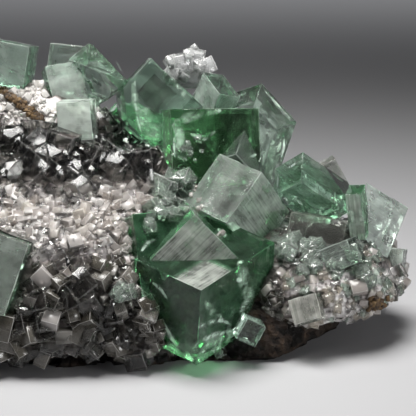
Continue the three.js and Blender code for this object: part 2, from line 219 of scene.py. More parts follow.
def relief(block, axis, side, u, v, amount):
    """Height of a face over its plane in mm: low growth hills, terraces, ridges."""
    rng = np.random.default_rng(block.seed * 31 + axis * 7 + (side + 1) * 3)
    lu, lv = block.L[(axis + 1) % 3], block.L[(axis + 2) % 3]
    size = min(lu, lv)
    d = np.zeros(len(u))
    for _ in range(3):
        cu, cv = rng.uniform(-0.5, 0.5) * lu, rng.uniform(-0.5, 0.5) * lv
        ru, rv = rng.uniform(0.4, 1.0) * lu, rng.uniform(0.4, 1.0) * lv
        h = rng.uniform(-0.011, 0.013) * size
        d += h * np.clip(1 - np.maximum(np.abs(u - cu) / ru, np.abs(v - cv) / rv), 0, 1)
    for _ in range(int(4 + size * 0.5)):
        w, hgt = rng.uniform(0.15, 0.75) * lu, rng.uniform(0.15, 0.75) * lv
        cu, cv = rng.choice([-0.5, 0.5]) * lu * rng.uniform(0.4, 1.1), rng.choice([-0.5, 0.5]) * lv * rng.uniform(0.4, 1.1)
        if rng.random() < 0.5:
            cu = rng.uniform(-0.4, 0.4) * lu
        e = 0.16
        s = smooth(w / 2 - np.abs(u - cu), -e, e) * smooth(hgt / 2 - np.abs(v - cv), -e, e)
        d += rng.choice([-1, -1, 1]) * rng.uniform(0.02, 0.075) * s
    opt = FACE.get((block.name, axis, side))
    if opt and "ridge" in opt:
        h, gap, way = opt["ridge"]
        t = (u, v)[way] + 0.12 * noise(np.stack([u, v, 0 * u], 1), 2.2, 5)
        vary = 0.55 + 0.45 * noise(np.stack([u * 0.35, v * 0.35, 0 * u], 1), 1.0, 9)
        d += h * vary * (np.abs(((t / gap) % 1.0) - 0.5) * 2 - 0.5)
    out = block.axes[axis] * side
    if out @ TOWARD < -0.15 or out[2] < -0.55:
        # grown against its neighbours: small square steps cut into the face
        rim = np.minimum(smooth(lu / 2 - np.abs(u), 0.2, 1.2), smooth(lv / 2 - np.abs(v), 0.2, 1.2))
        for gap, deep in ((2.3, 0.45), (1.2, 0.22)):
            cell = np.stack([np.floor(u / gap + 0.3), np.floor(v / gap + 0.6), np.full(len(u), float(block.seed % 97))], 1)
            d -= deep * rim * (0.5 + 0.5 * _hash(cell[:, 0].astype(np.int64) + 50, cell[:, 1].astype(np.int64) + 50, cell[:, 2].astype(np.int64), axis * 3 + side + 5))
    return d * amount


def ticks(length, cell, edge):
    n = max(3, int(round((length - 2 * edge) / cell)))
    return np.concatenate([[0.0], np.linspace(edge, length - edge, n + 1), [length]]) - length / 2


def block_arrays(block, cell=0.45, edge=0.09, amount=1.0, plain=False):
    t = [ticks(l, cell, edge) for l in block.L]
    n = [len(x) - 1 for x in t]
    shape = tuple(k + 1 for k in n)
    mask = np.zeros(shape, bool)
    for ax in range(3):
        sl = [slice(None)] * 3
        for end in (0, -1):
            sl[ax] = end
            mask[tuple(sl)] = True
    ids = -np.ones(shape, np.int64)
    ids[mask] = np.arange(mask.sum())
    I = np.argwhere(mask)
    P = np.stack([t[a][I[:, a]] for a in range(3)], 1)
    off = np.zeros_like(P)
    count = np.zeros(len(P), int)
    for ax in range(3):
        for end, side in ((0, -1), (n[ax], 1)):
            on = I[:, ax] == end
            count[on] += 1
            if not plain:
                off[on, ax] += side * relief(block, ax, side, P[on, (ax + 1) % 3], P[on, (ax + 2) % 3], amount)
    inset = np.where(count == 3, 0.45, np.where(count == 2, 0.3, 0.0)) * edge
    for ax in range(3):
        on = (I[:, ax] == 0) | (I[:, ax] == n[ax])
        off[on, ax] -= np.sign(P[on, ax]) * inset[on]
    P = P + off
    faces = []
    for ax in range(3):
        b, c = (ax + 1) % 3, (ax + 2) % 3
        for end, side in ((0, -1), (n[ax], 1)):
            grid = np.take(ids, end, axis=ax)
            if b > c:
                grid = grid.T
            q = np.stack([grid[:-1, :-1], grid[1:, :-1], grid[1:, 1:], grid[:-1, 1:]], -1).reshape(-1, 4)
            faces.append(q if side > 0 else q[:, ::-1])
    return block.c + P @ block.axes, np.concatenate(faces), count >= 2


# ------------------------------------------------------------------ meshes
def mesh_object(name, verts_mm, faces, edge=None):
    """Verts in the tables' millimetres, faces an (n, k) array or a list of arrays of one width each."""
    me = bpy.data.meshes.new(name)
    verts = (np.asarray(verts_mm, float) + SHIFT) * MM
    groups = faces if isinstance(faces, list) else [faces]
    groups = [np.asarray(g, np.int64) for g in groups if len(g)]
    loops = np.concatenate([g.ravel() for g in groups])
    sizes = np.concatenate([np.full(len(g), g.shape[1]) for g in groups])
    starts = np.concatenate([[0], np.cumsum(sizes)[:-1]])
    me.vertices.add(len(verts))
    me.vertices.foreach_set("co", verts.astype(np.float32).ravel())
    me.loops.add(len(loops))
    me.loops.foreach_set("vertex_index", loops.astype(np.int32))
    me.polygons.add(len(sizes))
    me.polygons.foreach_set("loop_start", starts.astype(np.int32))
    me.polygons.foreach_set("loop_total", sizes.astype(np.int32))
    me.update(calc_edges=True)
    me.validate()
    if edge is not None:
        at = me.attributes.new("edge", "FLOAT", "POINT")
        at.data.foreach_set("value", np.asarray(edge, np.float32))
    ob = bpy.data.objects.new(name, me)
    bpy.context.scene.collection.objects.link(ob)
    return ob


def combine(a, b, how):
    m = a.modifiers.new("cut", "BOOLEAN")
    m.operation, m.object, m.solver = how, b, "MANIFOLD"
    bpy.context.view_layer.update()
    dg = bpy.context.evaluated_depsgraph_get()
    me = bpy.data.meshes.new_from_object(a.evaluated_get(dg))
    a.modifiers.clear()
    old = a.data
    a.data = me
    bpy.data.meshes.remove(old)
    other = b.data
    bpy.data.objects.remove(b)
    bpy.data.meshes.remove(other)
    return a


def polygons(me):
    n = len(me.polygons)
    c, nrm = np.zeros(n * 3), np.zeros(n * 3)
    me.polygons.foreach_get("center", c)
    me.polygons.foreach_get("normal", nrm)
    return c.reshape(-1, 3) / MM - SHIFT, nrm.reshape(-1, 3)


def lay_faces(ob, blocks):
    """Gives every polygon its crystal face: coordinates along that face's edges (mm) and how frosted and striated it is."""
    me = ob.data
    centre, normal = polygons(me)
    best = np.full(len(centre), 1e9)
    pick = np.zeros((len(centre), 3), int)
    for k, blk in enumerate(blocks):
        q = blk.local(centre)
        nl = normal @ blk.axes.T
        ax = np.argmax(np.abs(nl), 1)
        row = np.arange(len(q))
        side = np.sign(nl[row, ax]).astype(int)
        gap = np.abs(q[row, ax] * side - blk.L[ax] / 2) + 3.0 * (1 - np.abs(nl[row, ax]))
        gap = gap + 2.0 * np.max(np.clip(np.abs(q) - blk.L / 2 - 0.3, 0, None), axis=1)
        better = gap < best
        best[better] = gap[better]
        pick[better] = np.stack([np.full(len(q), k), ax, side], 1)[better]
    rough, frost, grain = np.zeros(len(centre)), np.zeros(len(centre)), np.zeros(len(centre))
    uvs = np.zeros((len(me.loops), 2))
    starts, totals = np.zeros(len(centre), int), np.zeros(len(centre), int)
    me.polygons.foreach_get("loop_start", starts)
    me.polygons.foreach_get("loop_total", totals)
    lv = np.zeros(len(me.loops), int)
    me.loops.foreach_get("vertex_index", lv)
    co = np.zeros(len(me.vertices) * 3)
    me.vertices.foreach_get("co", co)
    co = co.reshape(-1, 3) / MM - SHIFT
    poly_of_loop = np.repeat(np.arange(len(centre)), totals)
    for k, blk in enumerate(blocks):
        ql = blk.local(co[lv])
        for ax in range(3):
            for side in (-1, 1):
                on = (pick[:, 0] == k) & (pick[:, 1] == ax) & (pick[:, 2] == side)
                if not on.any():
                    continue
                rng = np.random.default_rng(blk.seed * 13 + ax * 5 + side)
                opt = FACE.get((blk.name, ax, side), {})
                rough[on] = opt.get("rough", rng.choice([0.02, 0.04, 0.08, 0.14]))
                frost[on] = opt.get("frost", rng.choice([0.03, 0.06, 0.12, 0.22]))
                grain[on] = opt.get("grain", rng.uniform(0.4, 1.1))
                if blk.name == "frontCorner" and (blk.axes[ax] * side)[2] > 0.8:
                    along = blk.local(centre[on])
                    reach_ = np.maximum(along[:, 0] / blk.L[0], along[:, 1] / blk.L[1])
                    frost[on] = 0.05 + 0.5 * (1 - smooth(reach_, -0.16, -0.04))
                sel = on[poly_of_loop]
                a, b = (ax + 1) % 3, (ax + 2) % 3
                if (opt["ridge"][2] if "ridge" in opt else int(rng.integers(2))) == 0:
                    a, b = b, a
                uvs[sel] = ql[sel][:, (a, b)] + rng.uniform(-40, 40, 2)
    layer = me.uv_layers.new(name="face")
    layer.data.foreach_set("uv", uvs.astype(np.float32).ravel())
    for name, values in (("rough", rough), ("frost", frost), ("grain", grain)):
        at = me.attributes.new(name, "FLOAT", "FACE")
        at.data.foreach_set("value", values.astype(np.float32))
    edge = np.zeros(len(co), np.float32)
    at = me.attributes.get("edge")
    if at is None:
        at = me.attributes.new("edge", "FLOAT", "POINT")
    else:
        at.data.foreach_get("value", edge)
    edge = edge * np.clip(0.65 + 0.8 * noise(co, 1.7, 91), 0.1, 1)
    at.data.foreach_set("value", edge.astype(np.float32))


def shade(ob, degrees=24):
    me = ob.data
    me.polygons.foreach_set("use_smooth", np.ones(len(me.polygons), bool))
    me.set_sharp_from_angle(angle=math.radians(degrees))


# ------------------------------------------------------------------ materials
def new_material(name):
    m = bpy.data.materials.new(name)
    m.use_nodes = True
    m.node_tree.nodes.clear()
    return m, m.node_tree


def link(nt, a, b):
    nt.links.new(a, b)


def node(nt, kind, **props):
    n = nt.nodes.new(kind)
    for k, v in props.items():
        if k.startswith("in_"):
            n.inputs[k[3:].replace("_", " ")].default_value = v
        else:
            setattr(n, k, v)
    return n


def math_node(nt, op, a, b=None, clamp=False):
    n = nt.nodes.new("ShaderNodeMath")
    n.operation = op
    n.use_clamp = clamp
    for i, x in enumerate((a, b)):
        if x is None:
            continue
        if isinstance(x, (int, float)):
            n.inputs[i].default_value = x
        else:
            link(nt, x, n.inputs[i])
    return n.outputs[0]


def ramp(nt, source, stops, interpolation="LINEAR"):
    n = nt.nodes.new("ShaderNodeValToRGB")
    n.color_ramp.interpolation = interpolation
    els = n.color_ramp.elements
    while len(els) > 1:
        els.remove(els[-1])
    els[0].position, els[0].color = stops[0][0], (*stops[0][1], 1)
    for p, c in stops[1:]:
        e = els.new(p)
        e.color = (*c, 1)
    link(nt, source, n.inputs["Fac"])
    return n.outputs["Color"]


def crystal_material(name, absorb, density, body=(0.93, 0.97, 0.95), frosted=(0.50, 0.55, 0.51), bump=0.35, thin=None):
    """Clear crystal: plain transmission, refraction and absorption; its faces striated and partly etched to a pale frost."""
    m, nt = new_material(name)
    out = node(nt, "ShaderNodeOutputMaterial")
    glass = node(nt, "ShaderNodeBsdfPrincipled")
    glass.inputs["Base Color"].default_value = (*body, 1)
    glass.inputs["IOR"].default_value = 1.434
    glass.inputs["Transmission Weight"].default_value = 1.0
    etched = node(nt, "ShaderNodeBsdfPrincipled")
    etched.inputs["Base Color"].default_value = (*frosted, 1)
    etched.inputs["IOR"].default_value = 1.434
    etched.inputs["Roughness"].default_value = 0.38
    etched.inputs["Transmission Weight"].default_value = 0.25
    uv = node(nt, "ShaderNodeUVMap", uv_map="face")
    rough = node(nt, "ShaderNodeAttribute", attribute_name="rough")
    frost = node(nt, "ShaderNodeAttribute", attribute_name="frost")
    grain = node(nt, "ShaderNodeAttribute", attribute_name="grain")
    edge = node(nt, "ShaderNodeAttribute", attribute_name="edge")

    def stretched(su, sv, seed):
        mp = node(nt, "ShaderNodeMapping")
        mp.inputs["Scale"].default_value = (su, sv, 1)
        mp.inputs["Location"].default_value = (seed * 3.7, seed * 1.9, seed)
        link(nt, uv.outputs["UV"], mp.inputs["Vector"])
        return mp.outputs["Vector"]

    fine = node(nt, "ShaderNodeTexNoise", in_Scale=1.0, in_Detail=3.0, in_Roughness=0.6, in_Distortion=0.15)
    link(nt, stretched(0.16, 4.2, 1), fine.inputs["Vector"])
    cross = node(nt, "ShaderNodeTexNoise", in_Scale=1.0, in_Detail=2.0, in_Roughness=0.5)
    link(nt, stretched(2.6, 0.2, 2), cross.inputs["Vector"])
    tiles = node(nt, "ShaderNodeTexVoronoi", distance="CHEBYCHEV", feature="F1", in_Scale=1.0)
    link(nt, stretched(0.62, 0.48, 3), tiles.inputs["Vector"])
    cloud = node(nt, "ShaderNodeTexNoise", in_Scale=0.34, in_Detail=3.0, in_Roughness=0.55)
    link(nt, uv.outputs["UV"], cloud.inputs["Vector"])
    tile_h = node(nt, "ShaderNodeSeparateColor")
    link(nt, tiles.outputs["Color"], tile_h.inputs["Color"])
    h = math_node(nt, "MULTIPLY", fine.outputs["Fac"], grain.outputs["Fac"])
    h = math_node(nt, "ADD", h, math_node(nt, "MULTIPLY", cross.outputs["Fac"], 0.35))
    h = math_node(nt, "ADD", h, math_node(nt, "MULTIPLY", tile_h.outputs[0], 0.35))
    h = math_node(nt, "ADD", h, math_node(nt, "MULTIPLY", cloud.outputs["Fac"], 1.6))
    bp = node(nt, "ShaderNodeBump", in_Strength=bump, in_Distance=0.00006)
    link(nt, h, bp.inputs["Height"])
    r = math_node(nt, "ADD", rough.outputs["Fac"], math_node(nt, "MULTIPLY", math_node(nt, "SUBTRACT", cloud.outputs["Fac"], 0.5), 0.08))
    link(nt, math_node(nt, "MAXIMUM", r, 0.012), glass.inputs["Roughness"])
    for sh in (glass, etched):
        link(nt, bp.outputs["Normal"], sh.inputs["Normal"])
    if thin:
        # thin frost lets the green through, thick frost is grey
        link(nt, ramp(nt, frost.outputs["Fac"], [(0.16, thin), (0.50, frosted)]), etched.inputs["Base Color"])
    # frost lies along the striations and in patches, and a little on every edge
    line = math_node(nt, "MULTIPLY", math_node(nt, "SUBTRACT", fine.outputs["Fac"], 0.5), math_node(nt, "MULTIPLY", grain.outputs["Fac"], 0.75))
    patch = math_node(nt, "MULTIPLY", math_node(nt, "SUBTRACT", cloud.outputs["Fac"], 0.5), 2.6)
    tile = math_node(nt, "MULTIPLY", math_node(nt, "SUBTRACT", tile_h.outputs[1], 0.5), 0.35)
    f = math_node(nt, "ADD", math_node(nt, "ADD", line, patch), math_node(nt, "ADD", tile, 1.0))
    f = math_node(nt, "MULTIPLY", math_node(nt, "MAXIMUM", f, 0.0), frost.outputs["Fac"])
    f = math_node(nt, "ADD", f, math_node(nt, "MULTIPLY", edge.outputs["Fac"], 0.75), clamp=True)
    f = math_node(nt, "MINIMUM", f, 0.92)
    mix = node(nt, "ShaderNodeMixShader")
    link(nt, f, mix.inputs["Fac"])
    link(nt, glass.outputs["BSDF"], mix.inputs[1])
    link(nt, etched.outputs["BSDF"], mix.inputs[2])
    va = node(nt, "ShaderNodeVolumeAbsorption")
    va.inputs["Color"].default_value = (*absorb, 1)
    va.inputs["Density"].default_value = density
    link(nt, mix.outputs["Shader"], out.inputs["Surface"])
    link(nt, va.outputs["Volume"], out.inputs["Volume"])
    return m


def cube_material(name, colours, clear, rough, absorb=None, density=0.0, pale_edge_highlight=0.5, gritty=0.2):
    """The small cubes of the crust: each one a little different, their edges painted pale as a highlight."""
    m, nt = new_material(name)
    out = node(nt, "ShaderNodeOutputMaterial")
    p = node(nt, "ShaderNodeBsdfPrincipled")
    geo = node(nt, "ShaderNodeNewGeometry")
    tex = node(nt, "ShaderNodeTexCoord")
    edge = node(nt, "ShaderNodeAttribute", attribute_name="edge")
    stain = node(nt, "ShaderNodeTexNoise", in_Scale=260.0, in_Detail=3.0)
    link(nt, tex.outputs["Object"], stain.inputs["Vector"])
    v = math_node(nt, "ADD", math_node(nt, "MULTIPLY", geo.outputs["Random Per Island"], 0.72), math_node(nt, "MULTIPLY", stain.outputs["Fac"], 0.28))
    step = 1.0 / (len(colours) - 1)
    link(nt, ramp(nt, v, [(i * step, c) for i, c in enumerate(colours)]), p.inputs["Base Color"])
    p.inputs["IOR"].default_value = 1.434
    p.inputs["Transmission Weight"].default_value = clear
    grit = node(nt, "ShaderNodeTexNoise", in_Scale=2600.0, in_Detail=2.0)
    link(nt, tex.outputs["Object"], grit.inputs["Vector"])
    r = math_node(nt, "ADD", math_node(nt, "MULTIPLY", geo.outputs["Random Per Island"], rough[1] - rough[0]), rough[0])
    r = math_node(nt, "ADD", r, math_node(nt, "MULTIPLY", math_node(nt, "SUBTRACT", grit.outputs["Fac"], 0.5), gritty * 0.4))
    link(nt, math_node(nt, "MAXIMUM", r, 0.012), p.inputs["Roughness"])
    bp = node(nt, "ShaderNodeBump", in_Strength=gritty, in_Distance=0.00003)
    link(nt, grit.outputs["Fac"], bp.inputs["Height"])
    if gritty > 0.04:
        link(nt, bp.outputs["Normal"], p.inputs["Normal"])
    rim = node(nt, "ShaderNodeBsdfPrincipled")
    rim.inputs["Base Color"].default_value = (0.66, 0.65, 0.63, 1)
    rim.inputs["Roughness"].default_value = 0.4
    mix = node(nt, "ShaderNodeMixShader")
    # painted highlight: the chamfered edges are mixed towards a pale grey shader
    link(nt, math_node(nt, "MULTIPLY", edge.outputs["Fac"], math_node(nt, "MULTIPLY", stain.outputs["Fac"], pale_edge_highlight * 1.6), clamp=True), mix.inputs["Fac"])
    link(nt, p.outputs["BSDF"], mix.inputs[1])
    link(nt, rim.outputs["BSDF"], mix.inputs[2])
    link(nt, mix.outputs["Shader"], out.inputs["Surface"])
    if absorb:
        va = node(nt, "ShaderNodeVolumeAbsorption")
        va.inputs["Color"].default_value = (*absorb, 1)
        va.inputs["Density"].default_value = density
        link(nt, va.outputs["Volume"], out.inputs["Volume"])
    return m


def bed_material():
    m, nt = new_material("crust_bed")
    out = node(nt, "ShaderNodeOutputMaterial")
    p = node(nt, "ShaderNodeBsdfPrincipled")
    tex = node(nt, "ShaderNodeTexCoord")
    pale = node(nt, "ShaderNodeAttribute", attribute_name="pale")
    n1 = node(nt, "ShaderNodeTexNoise", in_Scale=420.0, in_Detail=5.0, in_Roughness=0.65)
    n2 = node(nt, "ShaderNodeTexNoise", in_Scale=110.0, in_Detail=3.0)
    v = node(nt, "ShaderNodeTexVoronoi", distance="CHEBYCHEV", in_Scale=900.0)
    for x in (n1, n2, v):
        link(nt, tex.outputs["Object"], x.inputs["Vector"])
    # the pale attribute holds the crust's own tone and painted shade of the hollows, the low front and the crystal
    # sockets
    f = math_node(nt, "ADD", pale.outputs["Fac"], math_node(nt, "MULTIPLY", math_node(nt, "SUBTRACT", n1.outputs["Fac"], 0.5), 0.7))
    f = math_node(nt, "ADD", f, math_node(nt, "MULTIPLY", math_node(nt, "SUBTRACT", n2.outputs["Fac"], 0.5), 0.5), clamp=True)
    link(nt, ramp(nt, f, [(0.0, (0.014, 0.016, 0.013)), (0.35, (0.09, 0.08, 0.07)), (0.6, (0.24, 0.21, 0.20)), (0.85, (0.48, 0.45, 0.45)), (1.0, (0.66, 0.64, 0.63))]), p.inputs["Base Color"])
    p.inputs["Roughness"].default_value = 0.55
    h = math_node(nt, "ADD", math_node(nt, "MULTIPLY", v.outputs["Distance"], 0.8), n1.outputs["Fac"])
    bp = node(nt, "ShaderNodeBump", in_Strength=0.8, in_Distance=0.00035)
    link(nt, h, bp.inputs["Height"])
    link(nt, bp.outputs["Normal"], p.inputs["Normal"])
    link(nt, p.outputs["BSDF"], out.inputs["Surface"])
    return m


def rock_material():
    m, nt = new_material("spongy_rock")
    out = node(nt, "ShaderNodeOutputMaterial")
    p = node(nt, "ShaderNodeBsdfPrincipled")
    tex = node(nt, "ShaderNodeTexCoord")
    deep = node(nt, "ShaderNodeAttribute", attribute_name="deep")
    n1 = node(nt, "ShaderNodeTexNoise", in_Scale=520.0, in_Detail=6.0, in_Roughness=0.7)
    n2 = node(nt, "ShaderNodeTexNoise", in_Scale=120.0, in_Detail=4.0)
    v = node(nt, "ShaderNodeTexVoronoi", in_Scale=1100.0)
    for x in (n1, n2, v):
        link(nt, tex.outputs["Object"], x.inputs["Vector"])
    f = math_node(nt, "ADD", math_node(nt, "MULTIPLY", n1.outputs["Fac"], 0.6), math_node(nt, "MULTIPLY", n2.outputs["Fac"], 0.4))
    # painted shade: the rock is darker in its pits and pores
    f = math_node(nt, "SUBTRACT", f, math_node(nt, "MULTIPLY", deep.outputs["Fac"], 0.45), clamp=True)
    link(nt, ramp(nt, f, [(0.0, (0.002, 0.0015, 0.001)), (0.40, (0.005, 0.0035, 0.0025)), (0.54, (0.018, 0.011, 0.007)), (0.66, (0.06, 0.036, 0.019)), (0.82, (0.20, 0.14, 0.08))]), p.inputs["Base Color"])
    p.inputs["Roughness"].default_value = 0.85
    p.inputs["Specular IOR Level"].default_value = 0.3
    h = math_node(nt, "ADD", math_node(nt, "MULTIPLY", v.outputs["Distance"], 0.7), n1.outputs["Fac"])
    bp = node(nt, "ShaderNodeBump", in_Strength=1.0, in_Distance=0.0008)
    link(nt, h, bp.inputs["Height"])
    link(nt, bp.outputs["Normal"], p.inputs["Normal"])
    link(nt, p.outputs["BSDF"], out.inputs["Surface"])
    return m


def veil_material(name, colour, most, gloss=0.0):
    """Healed cracks and clouds sealed in a crystal, and painted light films laid on its faces: a thin broken film."""
    m, nt = new_material(name)
    out = node(nt, "ShaderNodeOutputMaterial")
    tex = node(nt, "ShaderNodeTexCoord")
    n1 = node(nt, "ShaderNodeTexNoise", in_Scale=480.0, in_Detail=5.0, in_Roughness=0.65)
    link(nt, tex.outputs["Object"], n1.inputs["Vector"])
    rim = node(nt, "ShaderNodeAttribute", attribute_name="rim")
    a = math_node(nt, "MULTIPLY", math_node(nt, "SUBTRACT", n1.outputs["Fac"], 0.40), 3.2, clamp=True)
    a = math_node(nt, "MULTIPLY", math_node(nt, "MULTIPLY", a, rim.outputs["Fac"]), most)
    clear = node(nt, "ShaderNodeBsdfTransparent")
    if gloss:
        film = node(nt, "ShaderNodeBsdfGlossy", in_Roughness=0.12)
    else:
        film = node(nt, "ShaderNodeBsdfDiffuse")
    film.inputs["Color"].default_value = (*colour, 1)
    mix = node(nt, "ShaderNodeMixShader")
    link(nt, a, mix.inputs["Fac"])
    link(nt, clear.outputs[0], mix.inputs[1])
    link(nt, film.outputs[0], mix.inputs[2])
    link(nt, mix.outputs[0], out.inputs["Surface"])
    return m


# ------------------------------------------------------------------ crystals
MATS = {
    "deep": crystal_material("green_deep", (0.14, 0.75, 0.29), 112.0, frosted=(0.43, 0.46, 0.42), thin=(0.20, 0.50, 0.27)),
    "vivid": crystal_material("green_vivid", (0.05, 0.70, 0.14), 165.0, frosted=(0.40, 0.50, 0.41)),
    "soft": crystal_material("green_soft", (0.22, 0.76, 0.42), 115.0, frosted=(0.48, 0.54, 0.50)),
    "pale": crystal_material("green_pale", (0.36, 0.80, 0.50), 80.0, frosted=(0.64, 0.71, 0.65)),
    "grey": crystal_material("grey_pale", (0.46, 0.76, 0.57), 80.0, frosted=(0.44, 0.50, 0.46)),
    "clear_green": crystal_material("green_clear", (0.50, 0.74, 0.56), 80.0, frosted=(0.48, 0.53, 0.50)),
    "clear": crystal_material("clear_smoky", (0.66, 0.66, 0.54), 70.0, frosted=(0.5, 0.5, 0.46)),
}
CRYSTALS = [
    # node, piece, blocks (a pair is cut to its second), material
    ("front_twin", "", [("frontCorner",), ("frontThrough",), ("frontUpper",)], "deep"),
    ("centre_cluster", "_front", [("centre",)], "vivid"),
    ("centre_cluster", "_left", [("diamond", "diamondSide"), ("paleTwin",)], "soft"),
    ("centre_cluster", "_right", [("tall",), ("behind",)], "clear_green"),
    ("shoulder_crystal", "", [("shoulder",)], "pale"),
    ("right_twin", "", [("right",)], "soft"),
    ("right_twin", "_behind", [("rightBehind",)], "clear"),
    ("far_right_twin", "_ridged", [("ridged",)], "deep"),
    ("far_right_twin", "", [("farRight", "farRightSide")], "grey"),
    ("left_rear_twin", "", [("peak", "peakSlope"), ("peakLeft",)], "pale"),
    ("left_rear_cube", "", [("rearSmall",)], "pale"),
    ("left_corner_crystal", "", [("cornerLeft",)], "soft"),
    ("pale_block", "", [("paleBlock",)], "pale"),
    ("front_left_crystal", "", [("frontLeft",)], "pale"),
    ("clear_cube", "", [("clear",)], "clear"),
    ("low_right_cube", "", [("lowRight",)], "grey"),
    ("right_end_crystal", "", [("rightEnd",)], "pale"),
    ("teal_cube", "", [("teal",)], "soft"),
    ("clear_shard", "", [("shard",)], "clear"),
    ("left_end_twin", "", [("leftEnd",), ("leftEndThrough",)], "deep"),
    ("left_end_cube", "", [("leftLow",)], "soft"),
    ("back_cube", "", [("back",)], "deep"),
    ("back_low_cube", "", [("backLow",)], "soft"),
]
PARTS = [part for _, _, parts, _ in CRYSTALS for part in parts]


def place(ob, node_name=None, material=None):
    if material:
        ob.data.materials.clear()
        ob.data.materials.append(material)
    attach(ob, "root")
    if node_name:
        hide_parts(node_name)
    return ob


CORNERS = np.array([[x, y, z] for x in (-1, 1) for y in (-1, 1) for z in (-1, 1)], float)


def box_object(part, grow):
    """The plain block of a part, a little larger all round."""
    boxes = []
    for nm in part:
        blk = B[nm]
        q = CORNERS * (blk.L / 2 + grow)
        ids = np.array([[0, 1, 3, 2], [4, 6, 7, 5], [0, 4, 5, 1], [2, 3, 7, 6], [0, 2, 6, 4], [1, 5, 7, 3]])
        boxes.append(mesh_object("socket", blk.c + q @ blk.axes, ids))
    return boxes[0] if len(boxes) == 1 else combine(boxes[0], boxes[1], "INTERSECT")


def near(one, other):
    return np.linalg.norm(B[one[0]].c - B[other[0]].c) < (np.linalg.norm(B[one[0]].L) + np.linalg.norm(B[other[0]].L)) / 2


done = []
for name, piece, parts, mat in CRYSTALS:
    whole = None
    blocks = []
    for part in parts:
        blk = B[part[0]]
        cell = 0.22 if part[0] in ("ridged", "farRight", "frontThrough", "right", "lowRight", "shard") else 0.4
        ob = mesh_object(name + "_part", *block_arrays(blk, cell=cell))
        blocks.append(blk)
        if len(part) > 1:
            ob = combine(ob, mesh_object("cut", *block_arrays(B[part[1]], cell=0.8)), "INTERSECT")
            blocks.append(B[part[1]])
        whole = ob if whole is None else combine(whole, ob, "UNION")
    for old in done:
        if any(near(part, old) for part in parts):
            whole = combine(whole, box_object(old, 0.04), "DIFFERENCE")
    done += parts
    whole.name = name + piece + "_crystal"
    whole.data.name = whole.name
    lay_faces(whole, blocks)
    shade(whole)
    place(whole, name, MATS[mat])

# ------------------------------------------------------------------ rock and crust
CRUST_LOBES = [
    (-22, 9, 6, 24, 15, 21.5),
    (-20, -1, 7, 27, 13.2, 14.6),
    (2, 11, 5, 20, 14.5, 14.5),
    (15, 5, 8, 13.6, 13.2, 8.4),
    (-26, 18, 10, 17, 11, 24.5),
    (-6, 14, 8, 12, 12, 20),
]
ROCK_LOBES = [
    (-16, 7, 3, 29.5, 16.5, 15),
    (6, 6, 3.5, 14.8, 14.2, 9.5),
    (-18, 17, 6, 24, 9, 14),
]
MIDDLE = np.array([-11.0, 7.0, 7.0])


def reach(lobes, d):
    hits = []
    for x, y, z, rx, ry, rz in lobes:
        r = np.array([rx, ry, rz], float)
        o = (MIDDLE - np.array([x, y, z])) / r
        v = d / r
        a = (v * v).sum(1)
        b = v @ o
        disc = b * b - a * (o @ o - 1)
        hits.append(np.where(disc > 0, (-b + np.sqrt(np.maximum(disc, 0))) / a, -50.0))
    h = np.stack(hits)
    most = h.max(0)
    return most + 1.2 * np.log(np.exp((h - most) / 1.2).sum(0))


def globe(n):
    """A cube-like grid on the unit sphere: vertices and quads."""
    g = np.tan(np.linspace(-math.pi / 4, math.pi / 4, n + 1))
    ids = {}
    verts, quads = [], []
    lat = np.arange(n + 1)
    for ax in range(3):
        b, c = (ax + 1) % 3, (ax + 2) % 3
        for side in (-1, 1):
            grid = np.zeros((n + 1, n + 1), np.int64)
            for i in lat:
                for j in lat:
                    key = [0, 0, 0]
                    key[ax], key[b], key[c] = (0 if side < 0 else n), i, j
                    key = tuple(int(k) for k in key)
                    if key not in ids:
                        ids[key] = len(verts)
                        verts.append((g[key[0]], g[key[1]], g[key[2]]))
                    grid[i, j] = ids[key]
            q = np.stack([grid[:-1, :-1], grid[1:, :-1], grid[1:, 1:], grid[:-1, 1:]], -1).reshape(-1, 4)
            quads.append(q if side > 0 else q[:, ::-1])
    v = np.array(verts)
    return v / np.linalg.norm(v, axis=1)[:, None], np.concatenate(quads)


GLOBE_V, GLOBE_Q = globe(112)


def crust_floor(p):
    """Height of the crust's ragged lower edge."""
    base = 2.5 + np.clip((p[:, 0] - 2) * 0.176, 0, 6)
    return base + 0.7 * noise(p * np.array([1, 1, 0.2]), 3.2, 41) + 0.4 * noise(p, 1.3, 43)


# the bed of the crust
r0 = reach(CRUST_LOBES, GLOBE_V)
base = MIDDLE + GLOBE_V * r0[:, None]
bump = 0.9 * fbm(base, 5.5, 3, 7) + 0.45 * fbm(base, 1.6, 3, 19)
bed_v = MIDDLE + GLOBE_V * (r0 - 0.9 + bump)[:, None]
low = crust_floor(bed_v)
bed_v[:, 2] = np.maximum(bed_v[:, 2], low)


def paleness_and_painted_shade(p):
    """1 on the bright sugary slope, 0 in the dark hollows and along the low front: the crust's own pale and dark tones,
    with painted shade in the hollows and along the low front.
    """
    u, v, w = seen(p)
    z = p[:, 2]
    a = smooth(v, 172, 190) * (1 - smooth(v, 252, 275)) * (1 - smooth(u, 160, 190))
    top = (1 - smooth(v, 127, 138)) * (1 - smooth(u, 70, 110))
    rightside = smooth(u, 275, 290) * smooth(v, 255, 275)
    behind = smooth(p[:, 1], 19, 23) * 0.6
    pale = np.maximum.reduce([0.95 * a, 0.9 * top, 0.95 * rightside, behind, 0.30 + 0 * a])
    return np.clip(pale + 0.25 * noise(p, 3.0, 51), 0, 1)


bed = mesh_object("crust_bed", bed_v, GLOBE_Q)


for part in PARTS:
    bed = combine(bed, box_object(part, 0.08), "DIFFERENCE")
co = np.zeros(len(bed.data.vertices) * 3)
bed.data.vertices.foreach_get("co", co)
co = co.reshape(-1, 3) / MM - SHIFT
pale = paleness_and_painted_shade(co)
# painted shade: the bed is darkened where the crystals sit in it and over it
for part in PARTS:
    pale[B[part[0]].inside(co, 0.5)] *= 0.12
at = bed.data.attributes.new("pale", "FLOAT", "POINT")
at.data.foreach_set("value", pale.astype(np.float32))
shade(bed, 40)
place(bed, "crust", bed_material())

